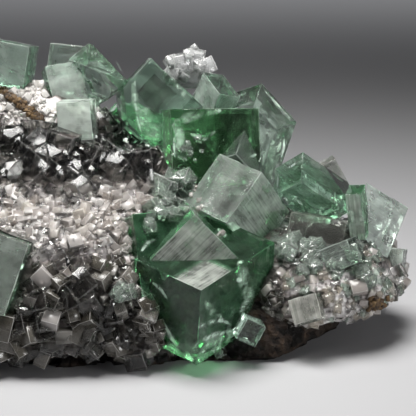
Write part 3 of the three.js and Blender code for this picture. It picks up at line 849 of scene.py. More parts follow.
# the rock with its pores
r1 = reach(ROCK_LOBES, GLOBE_V)
base = MIDDLE + GLOBE_V * r1[:, None]
pores = np.clip(0.15 - np.abs(fbm(base, 2.6, 2, 61)), 0, 0.15) / 0.15
pits = smooth(fbm(base, 1.5, 2, 67), 0.15, 0.55)
rock_v = MIDDLE + GLOBE_V * (r1 + 0.9 * fbm(base, 7.0, 3, 71) + 0.7 * fbm(base, 1.8, 3, 73) - 1.0 * pits - 0.5 * pores)[:, None]
rise = np.clip((rock_v[:, 0] - 7) * math.tan(math.radians(17)), 0, None)
floor_z = rise + np.where(rise > 0.3, 0.4 * noise(rock_v, 1.4, 79), 0)
rock_v[:, 2] = np.maximum(rock_v[:, 2], np.maximum(floor_z, 0))
rock = mesh_object("rock", rock_v, GLOBE_Q)
# painted shade: pits and pores are marked for darkening
at = rock.data.attributes.new("deep", "FLOAT", "POINT")
at.data.foreach_set("value", np.clip(pits + 0.5 * pores, 0, 1).astype(np.float32))
shade(rock, 50)
place(rock, "matrix", rock_material())

# ------------------------------------------------------------------ small cubes of the crust
# one cube with its edges taken off: 24 corners
CHAMFER = 0.045
cube_v = np.concatenate([CORNERS * np.where(np.arange(3) == a, 1.0, 1 - CHAMFER) for a in range(3)]) / 2


def cube_faces():
    quads, tris = [], []
    key = {tuple(c.astype(int)): i for i, c in enumerate(CORNERS)}

    def vid(c, a):
        return a * 8 + key[tuple(c)]

    for a in range(3):
        b, c = (a + 1) % 3, (a + 2) % 3
        for s in (-1, 1):
            ring = []
            for sb, sc in ((-1, -1), (1, -1), (1, 1), (-1, 1)):
                k = [0, 0, 0]
                k[a], k[b], k[c] = s, sb, sc
                ring.append(vid(k, a))
            quads.append(ring if s > 0 else ring[::-1])
        for sb in (-1, 1):
            for sc in (-1, 1):
                lo, hi = [0, 0, 0], [0, 0, 0]
                lo[a], hi[a] = -1, 1
                for k in (lo, hi):
                    k[b], k[c] = sb, sc
                ring = [vid(lo, b), vid(hi, b), vid(hi, c), vid(lo, c)]
                p = cube_v[ring]
                n = np.cross(p[1] - p[0], p[2] - p[0])
                quads.append(ring if n @ p.mean(0) > 0 else ring[::-1])
    for cn in CORNERS.astype(int):
        ring = [vid(cn, 0), vid(cn, 1), vid(cn, 2)]
        p = cube_v[ring]
        n = np.cross(p[1] - p[0], p[2] - p[0])
        tris.append(ring if n @ p.mean(0) > 0 else ring[::-1])
    return np.array(quads), np.array(tris)


CUBE_Q, CUBE_T = cube_faces()


def cubes_object(name, centres, frames, sizes):
    centres, frames, sizes = np.asarray(centres, float), np.asarray(frames, float), np.asarray(sizes, float)
    low = centres[:, 2] - (np.abs(frames[:, :, 2]) * sizes).sum(1) / 2
    centres = centres + np.clip(0.04 - low, 0, 0.5)[:, None] * np.array([0, 0, 1.0])
    stays = low > -0.46
    centres, frames, sizes = centres[stays], frames[stays], sizes[stays]
    n = len(centres)
    v = centres[:, None, :] + np.einsum("vk,nk,nkj->nvj", cube_v, sizes, frames)
    shift = (np.arange(n) * len(cube_v))[:, None, None]
    q = (CUBE_Q[None] + shift).reshape(-1, 4)
    t = (CUBE_T[None] + shift).reshape(-1, 3)
    ob = mesh_object(name, v.reshape(-1, 3), [q, t])
    at = ob.data.attributes.new("edge", "FLOAT", "FACE")
    mark = np.concatenate([np.tile([0, 0, 1, 1, 1, 1], 3 * n), np.ones(8 * n)])
    at.data.foreach_set("value", mark.astype(np.float32))
    return ob


def turned_frames(rng, n, groups):
    """Random cube directions; members of a group lie nearly parallel."""
    q = rng.normal(size=(groups.max() + 1, 4))[groups] + 0.10 * rng.normal(size=(n, 4))
    own = rng.random(n) < 0.35
    q[own] = rng.normal(size=(own.sum(), 4))
    q /= np.linalg.norm(q, axis=1)[:, None]
    w, x, y, z = q.T
    return np.stack([
        np.stack([1 - 2 * (y * y + z * z), 2 * (x * y - w * z), 2 * (x * z + w * y)], 1),
        np.stack([2 * (x * y + w * z), 1 - 2 * (x * x + z * z), 2 * (y * z - w * x)], 1),
        np.stack([2 * (x * z - w * y), 2 * (y * z + w * x), 1 - 2 * (x * x + y * y)], 1)], 1)


rng = np.random.default_rng(2024)
tri = np.concatenate([GLOBE_Q[:, (0, 1, 2)], GLOBE_Q[:, (0, 2, 3)]])
pa, pb, pc = bed_v[tri[:, 0]], bed_v[tri[:, 1]], bed_v[tri[:, 2]]
cr = np.cross(pb - pa, pc - pa)
area = np.linalg.norm(cr, axis=1) / 2
N = 42000
pick = rng.choice(len(tri), N, p=area / area.sum())
s1, s2 = np.sqrt(rng.random(N)), rng.random(N)
pts = (1 - s1)[:, None] * pa[pick] + (s1 * (1 - s2))[:, None] * pb[pick] + (s1 * s2)[:, None] * pc[pick]
nrm = cr[pick] / (2 * area[pick])[:, None]
keep = (pts[:, 2] > crust_floor(pts) + 0.25) & ~((np.abs(reach(ROCK_LOBES, (pts - MIDDLE) / np.linalg.norm(pts - MIDDLE, axis=1)[:, None]) - np.linalg.norm(pts - MIDDLE, axis=1)) < 0.0))
pts, nrm = pts[keep], nrm[keep]
u, v, w = seen(pts)
facing = nrm @ TOWARD
# zones: 0 sugary slope, 1 smoky clear hollow, 2 low front, 3 fine top left, 4 right end, 5 unseen rest
zone = np.full(len(pts), 5)
front = facing > -0.15
zone[front & (v > 165) & (u < 190)] = 0
zone[front & (v > 122) & (v < 180) & (u > -20) & (u < 172)] = 1
zone[front & (v > 258) & (u < 215)] = 2
zone[front & (v <= 122 + 9 * (1 - smooth(u, 60, 95))) & (u < 140)] = 3
zone[front & (u > 262) & (v > 190)] = 4
LOW = np.array([0.45, 1.5, 0.9, 0.35, 0.45, 0.8])
HIGH = np.array([1.8, 4.2, 3.2, 1.1, 1.5, 2.8])
size = LOW[zone] + (HIGH - LOW)[zone] * rng.random(len(pts)) ** 2.2
order = np.argsort(-size + rng.normal(0, 0.5, len(pts)))
cells = {}
chosen = []
for i in order:
    p = pts[i]
    k = tuple(np.floor(p / 2.0).astype(int))
    ok = True
    need = 0.42 * size[i]
    for dx in (-1, 0, 1):
        for dy in (-1, 0, 1):
            for dz in (-1, 0, 1):
                for j in cells.get((k[0] + dx, k[1] + dy, k[2] + dz), ()):
                    if np.sum((pts[j] - p) ** 2) < (need + 0.22 * size[j]) ** 2:
                        ok = False
                        break
                if not ok:
                    break
            if not ok:
                break
        if not ok:
            break
    if ok:
        cells.setdefault(k, []).append(i)
        chosen.append(i)
chosen = np.array(chosen)
pts, nrm, zone, size = pts[chosen], nrm[chosen], zone[chosen], size[chosen]
lift = rng.uniform(-0.05, 0.30, len(pts)) * size - np.where((zone == 0) | (zone == 4), 0.17, 0.0) * size
pts = pts + nrm * lift[:, None]
eye_mm = AIM + REACH * TOWARD


def screens(block, p):
    """Points that stand in front of a block, as the viewer sees it."""
    o, d = block.local(eye_mm[None])[0], (p - eye_mm) @ block.axes.T
    with np.errstate(divide="ignore", invalid="ignore"):
        t1, t2 = (-block.L / 2 * 0.97 - o) / d, (block.L / 2 * 0.97 - o) / d
    enter, leave = np.minimum(t1, t2).max(1), np.maximum(t1, t2).min(1)
    return (leave > enter) & (enter > 0.99)


clear_of = np.ones(len(pts), bool)
uu, vv, _ = seen(pts)
t_ = np.clip(((uu + 4) * 44 + (vv - 86) * 34) / (44 ** 2 + 34 ** 2), 0, 1)
clear_of &= np.hypot(uu + 4 - 44 * t_, vv - 86 - 34 * t_) > 2.4
for part in PARTS:
    blk = B[part[0]]
    hit = np.all(np.abs(blk.local(pts)) < blk.L / 2 + 0.36 * size[:, None], axis=1)
    if len(part) > 1:
        hit &= B[part[1]].inside(pts, 0.4)
    clear_of &= ~hit
    if len(part) == 1 and blk.name not in ("leftEnd", "leftEndThrough", "leftLow", "back", "backLow"):
        clear_of &= ~screens(blk, pts)
pts, nrm, zone, size = pts[clear_of], nrm[clear_of], zone[clear_of], size[clear_of]
cell_id = np.floor((pts + 200) / 3.4).astype(int)
_, groups = np.unique(cell_id @ np.array([1, 1000, 1000000]), return_inverse=True)
frames = turned_frames(rng, len(pts), groups.ravel())
edges = size[:, None] * rng.uniform(0.6, 1.2, (len(pts), 3))
kind = rng.random(len(pts))
share_clear = np.array([0.28, 1.0, 0.50, 0.0, 0.42, 0.5])[zone]
is_clear = kind < share_clear
CUBE_MATS = {
    "sugar": cube_material("sugar_cubes", [(0.24, 0.20, 0.17), (0.56, 0.52, 0.49), (0.74, 0.71, 0.69), (0.80, 0.73, 0.64)], 0.62, (0.08, 0.36)),
    "clear": cube_material("glassy_cubes", [(0.90, 0.89, 0.89), (0.97, 0.97, 0.97)], 1.0, (0.05, 0.16), (0.60, 0.60, 0.58), 120.0, pale_edge_highlight=0.22, gritty=0.0),
    "low_painted_shade": cube_material("low_painted_shade_cubes", [(0.05, 0.045, 0.038), (0.12, 0.11, 0.09), (0.24, 0.225, 0.20), (0.42, 0.40, 0.37)], 0.6, (0.08, 0.3)),
}
# painted shade: cubes on the low front and near the bottom get dark colours for the shade under the overhang
low_painted_shade = ~is_clear & (zone == 2) & (rng.random(len(pts)) < 0.8)
low_painted_shade |= ~is_clear & (pts[:, 2] < 6 + 2 * rng.normal(size=len(pts))) & (zone != 4)
CUBE_MATS["cream"] = cube_material("cream_cubes", [(0.40, 0.34, 0.27), (0.68, 0.64, 0.56), (0.80, 0.80, 0.73)], 0.86, (0.04, 0.22), (0.72, 0.72, 0.58), 90.0, pale_edge_highlight=0.3, gritty=0.08)
CUBE_MATS["mint"] = cube_material("mint_cubes", [(0.48, 0.60, 0.51), (0.78, 0.88, 0.81)], 0.88, (0.03, 0.2), (0.36, 0.78, 0.50), 130.0, pale_edge_highlight=0.35, gritty=0.06)
uu, vv, _ = seen(pts)
ending = (zone == 4) & ~is_clear
mint = ending & (rng.random(len(pts)) < 0.75 * (1 - smooth(vv, 268, 300)) + 0.12)
cream = ending & ~mint & (rng.random(len(pts)) < 0.7)
low_painted_shade &= ~mint & ~cream
CUBE_MATS["fine"] = cube_material("fine_white_cubes", [(0.58, 0.54, 0.50), (0.80, 0.78, 0.75), (0.90, 0.88, 0.85)], 0.45, (0.1, 0.36))
fine_top = (zone == 3) & ~is_clear & ~low_painted_shade
white = ~is_clear & ~low_painted_shade & ~mint & ~cream & ~fine_top
for nm, sel, slot in (("sugar", white, "crust"), ("fine", fine_top, "crust"), ("clear", is_clear, "crust"), ("low_painted_shade", low_painted_shade, "crust"), ("cream", cream, "crust"), ("mint", mint, "crust")):
    ob = cubes_object("crust_cubes_" + nm, pts[sel], frames[sel], edges[sel])
    place(ob, None, CUBE_MATS[nm])


def on_bed(u_, v_):
    ok, at_, nr_, _ = bed.ray_cast(Vector(((eye_mm + SHIFT) * MM).tolist()), Vector(((AIM + (u_ - 208) * PER_PIXEL * RIGHT + (208 - v_) * PER_PIXEL * UPWARD) - eye_mm).tolist()).normalized())
    return (np.array(at_) / MM - SHIFT, np.array(nr_)) if ok else (None, None)


def facing_frame(normal, turn):
    """Cube directions with one face looking along a direction, turned about it."""
    n_ = np.asarray(normal, float) / np.linalg.norm(normal)
    t_ = np.cross(n_, [0.1, 0.2, 0.97])
    t_ /= np.linalg.norm(t_)
    s_ = np.cross(n_, t_)
    return np.array([math.cos(turn) * t_ + math.sin(turn) * s_, -math.sin(turn) * t_ + math.cos(turn) * s_, n_])


# larger single cubes that stand out of the crust: line of sight, size, turn, lean (right, up), kind
SINGLES = [
    (147, 170, (4.6, 4.4, 3.6), 0.5, (0.25, 0.30), "clear"), (112, 170, (4.6, 4.0, 3.4), 0.9, (-0.2, 0.45), "clear"),
    (92, 146, (4.4, 4.0, 3.4), 0.3, (0.1, 0.6), "clear"), (120, 150, (4.2, 3.4, 3.0), 1.1, (-0.35, 0.5), "clear"),
    (53, 162, (4.6, 3.6, 3.2), 0.15, (0.1, 0.45), "clear"), (14, 147, (4.8, 4.4, 3.6), 0.2, (0.2, 0.25), "clear"),
    (80, 193, (3.6, 3.2, 3.0), 0.7, (0.1, 0.35), "clear"), (72, 172, (3.4, 3.0, 2.6), 0.5, (-0.2, 0.6), "clear"),
    (76, 243, (1.9, 1.8, 1.6), 0.4, (0.1, 0.5), "sugar"), (78, 285, (3.6, 3.4, 2.8), 0.75, (0.15, 0.3), "clear"),
    (60, 300, (2.8, 2.6, 2.4), 0.3, (-0.2, 0.2), "clear"), (98, 312, (3.2, 2.4, 2.4), 0.9, (0.2, 0.3), "clear"),
    (45, 330, (3.0, 2.8, 2.4), 0.5, (0.1, 0.2), "clear"), (110, 335, (2.8, 2.6, 2.4), 0.2, (-0.1, 0.1), "clear"),
    (394, 276, (2.6, 2.2, 2.0), 0.5, (0.3, 0.4), "clear"), (357, 288, (2.2, 2.0, 1.8), 0.3, (0.1, 0.5), "sugar"),
]
single = {"clear": ([], [], []), "sugar": ([], [], [])}
for u_, v_, sz, turn, lean, kd in SINGLES:
    at_, nr_ = on_bed(u_, v_)
    if at_ is None:
        continue
    fr = facing_frame(TOWARD + lean[0] * RIGHT + lean[1] * UPWARD, turn)
    single[kd][0].append(at_ + nr_ * 0.12 * sz[2])
    single[kd][1].append(fr)
    single[kd][2].append(sz)
for kd, (c_, f_, s_) in single.items():
    place(cubes_object("crust_single_" + kd, np.array(c_), np.array(f_), np.array(s_)), None, CUBE_MATS[kd])

# two cleavage faces that flash back the light
flash_rows = [(41, 145, (2.4, 2.0, 1.2), 0.35), (17, 173, (2.5, 2.2, 1.2), 0.1), (228, 233, (0.9, 0.6, 0.5), 0.8)]
to_key = np.array([-20.0, -30.0, 240.0])
fc, ff, fz = [], [], []
for u_, v_, sz, turn in flash_rows[:2]:
    at_, nr_ = on_bed(u_, v_)
    if at_ is None:
        continue
    away = to_key - (at_ + SHIFT)
    half = away / np.linalg.norm(away) + (eye_mm - at_) / np.linalg.norm(eye_mm - at_)
    ff.append(facing_frame(half, turn))
    fc.append(at_ + nr_ * 0.5)
    fz.append(sz)
fm, fnt = new_material("flashing_cleavage")
fo = node(fnt, "ShaderNodeOutputMaterial")
fp = node(fnt, "ShaderNodeBsdfPrincipled")
ft = node(fnt, "ShaderNodeTexCoord")
fn = node(fnt, "ShaderNodeTexNoise", in_Scale=260.0, in_Detail=2.0)
link(fnt, ft.outputs["Object"], fn.inputs["Vector"])
link(fnt, ramp(fnt, fn.outputs["Fac"], [(0.3, (0.82, 0.82, 0.81)), (0.7, (0.95, 0.95, 0.95))]), fp.inputs["Base Color"])
fp.inputs["IOR"].default_value = 1.434
fp.inputs["Roughness"].default_value = 0.2
link(fnt, fp.outputs["BSDF"], fo.inputs["Surface"])
place(cubes_object("flash_cubes", np.array(fc), np.array(ff), np.array(fz)), None, fm)

# ochre grains along the crevice at the upper left and at the right end
grains_c, grains_s = [], []
grng = np.random.default_rng(909)
for _ in range(420):
    t_ = grng.random()
    u_, v_ = -6 + 48 * t_ + grng.normal(0, 1.2), 85 + 37 * t_ + grng.normal(0, 1.6)
    if grng.random() < 0.14:
        u_, v_ = 375 + grng.normal(0, 4), 303 + grng.normal(0, 3)
    at_, nr_ = on_bed(u_, v_)
    if at_ is not None:
        z_ = grng.uniform(0.25, 0.75)
        grains_c.append(at_ + nr_ * grng.uniform(0.25, 0.6))
        grains_s.append(np.ones(3) * z_ * grng.uniform(0.7, 1.2, 3))
grains_c = np.array(grains_c)
place(cubes_object("ochre_grains", grains_c, turned_frames(grng, len(grains_c), np.arange(len(grains_c))), np.array(grains_s)), None,
      cube_material("ochre_grains", [(0.012, 0.008, 0.005), (0.04, 0.024, 0.012), (0.10, 0.06, 0.026), (0.24, 0.16, 0.08)], 0.0, (0.5, 0.8), pale_edge_highlight=0.0))
print("CUBES", len(pts), int(is_clear.sum()))

# the white cap of small cubes on the centre
cap_v, cap_f, cap_s = [], [], []
crng = np.random.default_rng(77)
for nm in ("capA", "capB", "capC", "capD", "capBed"):
    blk = B[nm]
    k = 9 if nm == "capBed" else 4
    q = crng.uniform(-0.5, 0.5, (k, 3))
    ax = crng.integers(0, 3, k)
    q[np.arange(k), ax] = np.sign(q[np.arange(k), ax]) * 0.46
    q[0] = 0
    cap_v.append(blk.c + (q * blk.L) @ blk.axes)
    cap_s.append(np.where(np.arange(k)[:, None] == 0, blk.L * 0.86, crng.uniform(0.8, 1.6, (k, 1)) * np.ones(3)))
    f = turned_frames(crng, k, np.zeros(k, int))
    f[0] = blk.axes
    cap_f.append(f)
cap = cubes_object("drusy_cap_cubes", np.concatenate(cap_v), np.concatenate(cap_f), np.concatenate(cap_s))
place(cap, "drusy_cap", cube_material("white_cubes", [(0.80, 0.82, 0.81), (0.92, 0.93, 0.93)], 0.74, (0.04, 0.14), pale_edge_highlight=0.7, gritty=0.05))

# ------------------------------------------------------------------ what is sealed in the crystals, and painted light and shade in and on them
def veils(name, block_names, count, seed, material, radius=(0.8, 3.2), inside=0.78):
    r = np.random.default_rng(seed)
    vs, fs, rims, total = [], [], [], 0
    for i in range(count):
        blk = B[block_names[i % len(block_names)]]
        n = np.array([r.choice([-1, 1]), r.choice([-1, 1]), r.choice([-1, 1])], float)
        n += 0.25 * r.normal(size=3)
        n /= np.linalg.norm(n)
        t = np.cross(n, [0.3, 0.5, 0.8])
        t /= np.linalg.norm(t)
        s = np.cross(n, t)
        rad = r.uniform(*radius)
        c = r.uniform(-0.5, 0.5, 3) * blk.L * inside
        rings, spokes = 5, 20
        ang = np.linspace(0, 2 * math.pi, spokes, endpoint=False)
        wob = 1 + 0.28 * np.sin(ang * 2 + r.uniform(0, 6)) + 0.18 * np.sin(ang * 3 + r.uniform(0, 6))
        pts_ = [c]
        rim = [1.0]
        for k in range(1, rings + 1):
            f = k / rings
            loc = c + (np.cos(ang) * wob * rad * f)[:, None] * t + (0.6 * np.sin(ang) * wob * rad * f)[:, None] * s
            loc = loc + n * (0.12 * rad * np.sin(3 * f + ang * 1.0))[:, None] * 0.5
            pts_.extend(loc)
            rim.extend([1 - f ** 2] * spokes)
        P = np.array(pts_)
        P = np.clip(P, -blk.L / 2 * 0.95, blk.L / 2 * 0.95)
        quads, tris = [], []
        for a in range(spokes):
            b = (a + 1) % spokes
            tris.append((total, total + 1 + a, total + 1 + b))
            for k in range(rings - 1):
                o = total + 1 + k * spokes
                quads.append((o + a, o + spokes + a, o + spokes + b, o + b))
        vs.append(blk.c + P @ blk.axes)
        fs.append((quads, tris))
        rims.append(np.array(rim))
        total += len(P)
    ob = mesh_object(name, np.concatenate(vs), [np.array([q for f in fs for q in f[0]]), np.array([t for f in fs for t in f[1]])])
    at = ob.data.attributes.new("rim", "FLOAT", "POINT")
    at.data.foreach_set("value", np.concatenate(rims).astype(np.float32))
    shade(ob, 60)
    place(ob, None, material)
    return ob


FILM = veil_material("bright_cracks", (0.92, 0.98, 0.94), 0.55, gloss=1.0)
CLOUD = veil_material("white_clouds", (0.72, 0.90, 0.78), 0.3)
PAINTED_LIGHT_STREAK = veil_material("painted_light_streaks", (0.78, 0.97, 0.84), 0.95)
veils("front_twin_cracks", ["frontCorner", "frontCorner", "frontThrough", "frontUpper"], 18, 5, FILM, radius=(0.6, 2.4))
veils("front_twin_clouds", ["frontCorner", "frontThrough", "frontUpper"], 7, 6, CLOUD, radius=(1.0, 3.0))
veils("centre_cracks", ["centre", "diamond", "tall", "centre"], 22, 7, FILM, radius=(0.5, 2.4))
veils("centre_clouds", ["diamond", "tall", "paleTwin", "diamond"], 8, 8, CLOUD, radius=(1.0, 2.8))
veils("shoulder_clouds", ["shoulder"], 8, 9, CLOUD, radius=(1.2, 3.0))
veils("right_clouds", ["farRight", "clear", "farRight"], 8, 10, CLOUD, radius=(1.0, 2.4))
veils("right_cracks", ["right", "farRight", "rightBehind", "clear"], 12, 11, FILM, radius=(0.5, 1.8))
veils("left_clouds", ["peak", "peakLeft", "paleBlock", "frontLeft"], 12, 12, CLOUD, radius=(0.8, 2.2))


def pixel_ray(u, v):
    at = AIM + (u - 208) * PER_PIXEL * RIGHT + (208 - v) * PER_PIXEL * UPWARD
    d = at - eye_mm
    return d / np.linalg.norm(d)


EYE = Vector(((eye_mm + SHIFT) * MM).tolist())


def meet(ob, u, v, lift=0.012):
    """Where a line of sight meets a crystal's surface (mm), a hair above it."""
    ok, at, nrm_, _ = ob.ray_cast(EYE, Vector(pixel_ray(u, v).tolist()))
    if not ok:
        return None
    return np.array(at) / MM - SHIFT + np.array(nrm_) * lift


def streaks(name, crystal, rows, material):
    """Thin pale films on a crystal's faces, painted light for bright internal reflections: lines of sight and width, as
    seen.
    """
    ob_ = bpy.data.objects[crystal]
    vs, fs, rims, n = [], [], [], 0
    for line, width in rows:
        line = np.array(line, float)
        m_ = max(6, int(np.linalg.norm(np.diff(line, axis=0), axis=1).sum() / 1.5))
        t = np.linspace(0, len(line) - 1, m_)
        mid = np.stack([np.interp(t, np.arange(len(line)), line[:, i]) for i in (0, 1)], 1)
        way = np.gradient(mid, axis=0)
        way /= np.linalg.norm(way, axis=1)[:, None] + 1e-9
        side = np.stack([-way[:, 1], way[:, 0]], 1)
        taper = np.sin(np.linspace(0.1, math.pi - 0.1, m_))
        cols = 7
        grid = []
        for i in range(m_):
            row = []
            for j in range(cols):
                f = j / (cols - 1) * 2 - 1
                q = mid[i] + side[i] * f * width / 2 * (0.35 + 0.65 * taper[i])
                pt = meet(ob_, *q)
                row.append(None if pt is None else (pt, (1.0 - f * f) * (1.0 if 0 < i < m_ - 1 else 0.0)))
            grid.append(row)
        ids = {}
        for i in range(m_ - 1):
            for j in range(cols - 1):
                keys = [(i, j), (i + 1, j), (i + 1, j + 1), (i, j + 1)]
                got = [grid[a_][b_] for a_, b_ in keys]
                if any(g is None for g in got):
                    continue
                if max(np.linalg.norm(got[0][0] - g[0]) for g in got[1:]) > 1.6:
                    continue
                face_ = []
                for k in keys:
                    if k not in ids:
                        ids[k] = n
                        vs.append(grid[k[0]][k[1]][0])
                        rims.append(grid[k[0]][k[1]][1])
                        n += 1
                    face_.append(ids[k])
                fs.append(face_)
    ob = mesh_object(name, np.array(vs), np.array(fs))
    at = ob.data.attributes.new("rim", "FLOAT", "POINT")
    at.data.foreach_set("value", np.array(rims, np.float32))
    shade(ob, 60)
    place(ob, None, material)


# painted light: broad pale films on the faces stand for light glowing through the crystals
PAINTED_GLOW = veil_material("pale_painted_glow", (0.55, 0.78, 0.60), 0.72)
# painted light: thin bright streaks on the faces stand for light reflected inside the crystals
streaks("front_twin_streaks", "front_twin_crystal", [
    ([(197, 328), (210, 322), (222, 320), (232, 325)], 6),
    ([(194, 346), (205, 339), (216, 334), (228, 332), (238, 329)], 6),
    ([(240, 325), (252, 316), (264, 304), (273, 296)], 12),
    ([(238, 313), (248, 303), (252, 300)], 9),
    ([(163, 322), (170, 335), (178, 348)], 6),
    ([(152, 282), (160, 288), (168, 300)], 5),
    ([(236, 281), (243, 279)], 7),
    ([(200, 352), (213, 351), (222, 346)], 5),
    ([(137, 298), (142, 307), (150, 317)], 4),
    ([(141, 252), (147, 243), (156, 239)], 5),
    ([(217, 228), (222, 232), (227, 237)], 6),
    ([(148, 217), (150, 224), (151, 230)], 6),
], PAINTED_LIGHT_STREAK)
streaks("front_twin_painted_glow", "front_twin_crystal", [
    ([(160, 345), (180, 352), (205, 350), (235, 336), (262, 316)], 22),
    ([(138, 285), (145, 310), (152, 335)], 12),
    ([(240, 260), (246, 285), (250, 305)], 16),
    ([(205, 300), (212, 312), (222, 318)], 10),
], PAINTED_GLOW)
streaks("centre_streaks", "centre_cluster_front_crystal", [
    ([(174, 136), (174, 146), (175, 158)], 3),
    ([(238, 160), (248, 158), (257, 154)], 5),
], PAINTED_LIGHT_STREAK)
streaks("centre_painted_glow", "centre_cluster_front_crystal", [
    ([(172, 128), (184, 119), (204, 112), (222, 110)], 12),
    ([(177, 118), (178, 138), (181, 160)], 16),
    ([(190, 134), (205, 138), (216, 131)], 6),
], PAINTED_GLOW)
streaks("left_twin_streaks", "centre_cluster_left_crystal", [
    ([(135, 80), (135, 100), (138, 122), (143, 138)], 3),
    ([(148, 64), (156, 58), (163, 68), (173, 79)], 3),
    ([(176, 84), (182, 92), (186, 98)], 6),
    ([(160, 122), (164, 128), (164, 136)], 4),
], PAINTED_LIGHT_STREAK)
streaks("left_twin_painted_glow", "centre_cluster_left_crystal", [
    ([(142, 108), (148, 124), (156, 142)], 26),
    ([(176, 76), (182, 90), (188, 100)], 14),
    ([(133, 82), (136, 104), (142, 126)], 9),
], PAINTED_GLOW)
streaks("right_crystal_streaks", "centre_cluster_right_crystal", [
    ([(292, 128), (292, 142), (288, 156)], 4),
    ([(264, 90), (276, 103), (290, 118)], 2.5),
    ([(284, 138), (284, 148), (281, 158)], 3),
], PAINTED_LIGHT_STREAK)

def perched(name, rows, material, seed, only=None):
    """Small cubes that sit on whatever a line of sight meets first, or on one object alone."""
    r_ = np.random.default_rng(seed)
    dg = bpy.context.evaluated_depsgraph_get()
    c_, f_, z_ = [], [], []
    for u_, v_, spread, count_, lo_, hi_ in rows:
        for _ in range(count_):
            q = (u_ + r_.normal(0, spread), v_ + r_.normal(0, spread))
            ok, at_, nr_, _, ob_, _ = bpy.context.scene.ray_cast(dg, EYE, Vector(pixel_ray(*q).tolist()))
            if not ok or ob_ is None or (only and ob_.name != only):
                continue
            sz = r_.uniform(lo_, hi_)
            c_.append(np.array(at_) / MM - SHIFT - np.array(nr_) * 0.12 * sz)
            f_.append(turned_frames(r_, 1, np.zeros(1, int))[0])
            z_.append(sz * r_.uniform(0.7, 1.2, 3))
    place(cubes_object(name, np.array(c_), np.array(f_), np.array(z_)), None, material)


bpy.context.view_layer.update()
# small pale cubes on the crystal tops; the one at 222, 233 is put where a glint is, a painted highlight
perched("perched_grains", [
    (190, 190, 5, 8, 0.4, 0.9), (196, 206, 5, 6, 0.4, 0.8), (222, 233, 1.5, 3, 0.5, 0.9),
], CUBE_MATS["sugar"], 61)
perched("crust_edge_grains", [
    (126, 240, 8, 70, 0.5, 1.4), (160, 205, 14, 60, 0.4, 1.4), (285, 262, 9, 40, 0.4, 1.3), (150, 165, 12, 50, 0.6, 1.8),
], CUBE_MATS["sugar"], 63, only=bed.name)
# painted shade: dark grains on the shaded low front
perched("crust_low_grains", [
    (128, 268, 9, 34, 0.9, 2.2), (126, 292, 8, 34, 0.9, 2.4), (138, 318, 9, 30, 0.9, 2.4), (150, 335, 8, 20, 0.8, 2.0), (272, 300, 8, 20, 0.6, 1.4),
], CUBE_MATS["low_painted_shade"], 64, only=bed.name)
perched("crust_right_grains", [
    (312, 247, 8, 60, 0.5, 1.5), (296, 252, 7, 40, 0.5, 1.5), (326, 252, 6, 30, 0.5, 1.3), (352, 258, 6, 30, 0.4, 1.2),
], CUBE_MATS["mint"], 65, only=bed.name)
GREEN_CUBES = cube_material("small_green_cubes", [(0.70, 0.80, 0.72), (0.86, 0.95, 0.88)], 0.90, (0.03, 0.2), (0.26, 0.78, 0.42), 190.0, pale_edge_highlight=0.35, gritty=0.06)
perched("small_green_cubes", [
    (165, 196, 5, 9, 1.6, 3.4), (182, 186, 6, 10, 1.4, 3.0), (176, 204, 6, 9, 1.2, 2.6), (158, 210, 4, 6, 1.0, 2.2), (187, 149, 6, 26, 0.25, 0.75), (150, 222, 3, 5, 0.8, 1.6), (290, 245, 6, 12, 1.0, 2.4), (306, 266, 5, 8, 0.9, 1.8),
    (336, 268, 4, 6, 0.9, 1.8), (362, 268, 7, 8, 1.0, 2.2), (216, 352, 2, 2, 1.2, 1.8), (122, 292, 4, 3, 1.4, 2.2),
], GREEN_CUBES, 62)


def painted_dark_volume(name, block_name, lo, hi, material):
    """A darker absorbing volume inside a crystal: painted shade for the dark surroundings seen through it."""
    blk = B[block_name]
    zone_ = Block(block_name)
    lo, hi = np.array(lo), np.array(hi)
    zone_.c = blk.c + ((lo + hi) / 2 * blk.L) @ blk.axes
    zone_.L = (hi - lo) * blk.L
    v_, f_, _ = block_arrays(zone_, cell=0.6, amount=2.0)
    ob = mesh_object(name, v_, f_)
    shade(ob)
    place(ob, None, material)


# painted shade: dark green volumes inside the centre and diamond crystals
m, nt = new_material("painted_dark_zone")
out = node(nt, "ShaderNodeOutputMaterial")
link(nt, node(nt, "ShaderNodeBsdfTransparent").outputs[0], out.inputs["Surface"])
va = node(nt, "ShaderNodeVolumeAbsorption")
va.inputs["Color"].default_value = (0.05, 0.22, 0.06, 1)
va.inputs["Density"].default_value = 420.0
link(nt, va.outputs[0], out.inputs["Volume"])
painted_dark_volume("centre_zone", "centre", (0.06, -0.44, -0.36), (0.44, 0.30, 0.30), m)
m, nt = new_material("painted_dusky_zone")
out = node(nt, "ShaderNodeOutputMaterial")
link(nt, node(nt, "ShaderNodeBsdfTransparent").outputs[0], out.inputs["Surface"])
va = node(nt, "ShaderNodeVolumeAbsorption")
va.inputs["Color"].default_value = (0.05, 0.22, 0.06, 1)
va.inputs["Density"].default_value = 230.0
link(nt, va.outputs[0], out.inputs["Volume"])
painted_dark_volume("diamond_zone", "diamond", (-0.30, -0.38, -0.3), (0.12, 0.06, 0.3), m)

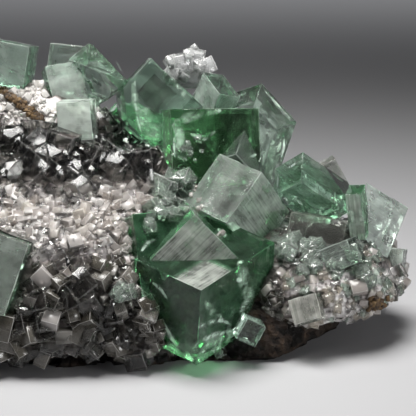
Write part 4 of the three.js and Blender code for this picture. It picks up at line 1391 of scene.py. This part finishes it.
# ------------------------------------------------------------------ floor, light, camera
floor = bpy.data.meshes.new("floor")
floor.from_pydata([(-4, -4, 0), (4, -4, 0), (4, 4, 0), (-4, 4, 0)], [], [(0, 1, 2, 3)])
floor_ob = bpy.data.objects.new("floor", floor)
bpy.context.scene.collection.objects.link(floor_ob)
m, nt = new_material("floor_plain")
out = node(nt, "ShaderNodeOutputMaterial")
p = node(nt, "ShaderNodeBsdfPrincipled")
p.inputs["Base Color"].default_value = (0.36, 0.36, 0.37, 1)
p.inputs["Roughness"].default_value = 0.7
link(nt, p.outputs["BSDF"], out.inputs["Surface"])
floor.materials.append(m)


def area_light(name, at, aim, size, power, colour=(1, 1, 1), spread=180):
    d = bpy.data.lights.new(name, "AREA")
    d.shape, d.size, d.size_y = "RECTANGLE", size[0], size[1]
    d.energy, d.color = power, colour
    d.spread = math.radians(spread)
    o = bpy.data.objects.new(name, d)
    o.location = at
    o.rotation_euler = (Vector(aim) - Vector(at)).to_track_quat("-Z", "Y").to_euler()
    bpy.context.scene.collection.objects.link(o)
    return o


focus = Vector(((AIM + SHIFT) * MM).tolist())
area_light("key", (-0.02, -0.03, 0.24), (0.0, -0.005, 0.015), (0.16, 0.13), 0.30, (1.0, 0.99, 0.97), 80)
area_light("fill", (0.30, -0.17, 0.05), (0.01, -0.01, 0.015), (0.12, 0.12), 0.075, (1.0, 1.0, 1.0), 60)
area_light("backdrop", (0.03, 0.42, 0.24), (0.03, 0.40, 0.0), (0.40, 0.16), 0.17, (0.98, 0.99, 1.0), 80)

world = bpy.data.worlds.new("studio")
bpy.context.scene.world = world
world.use_nodes = True
wn = world.node_tree
wn.nodes.clear()
wo = wn.nodes.new("ShaderNodeOutputWorld")
bg = wn.nodes.new("ShaderNodeBackground")
bg.inputs["Color"].default_value = (0.20, 0.20, 0.21, 1)
bg.inputs["Strength"].default_value = 0.25
wn.links.new(bg.outputs[0], wo.inputs["Surface"])

bpy.context.scene.view_settings.view_transform = "Standard"
cam = bpy.data.cameras.new("camera")
cam.sensor_width = 36.0
cam.lens = 18.0 / (208 * PER_PIXEL / REACH)
cam.clip_start, cam.clip_end = 0.01, 20
cam_ob = bpy.data.objects.new("camera", cam)
eye = (AIM + SHIFT + REACH * TOWARD) * MM
cam_ob.location = eye
cam_ob.rotation_euler = (math.pi / 2 - PITCH, 0, 0)
bpy.context.scene.collection.objects.link(cam_ob)
bpy.context.scene.camera = cam_ob

bpy.context.view_layer.update()
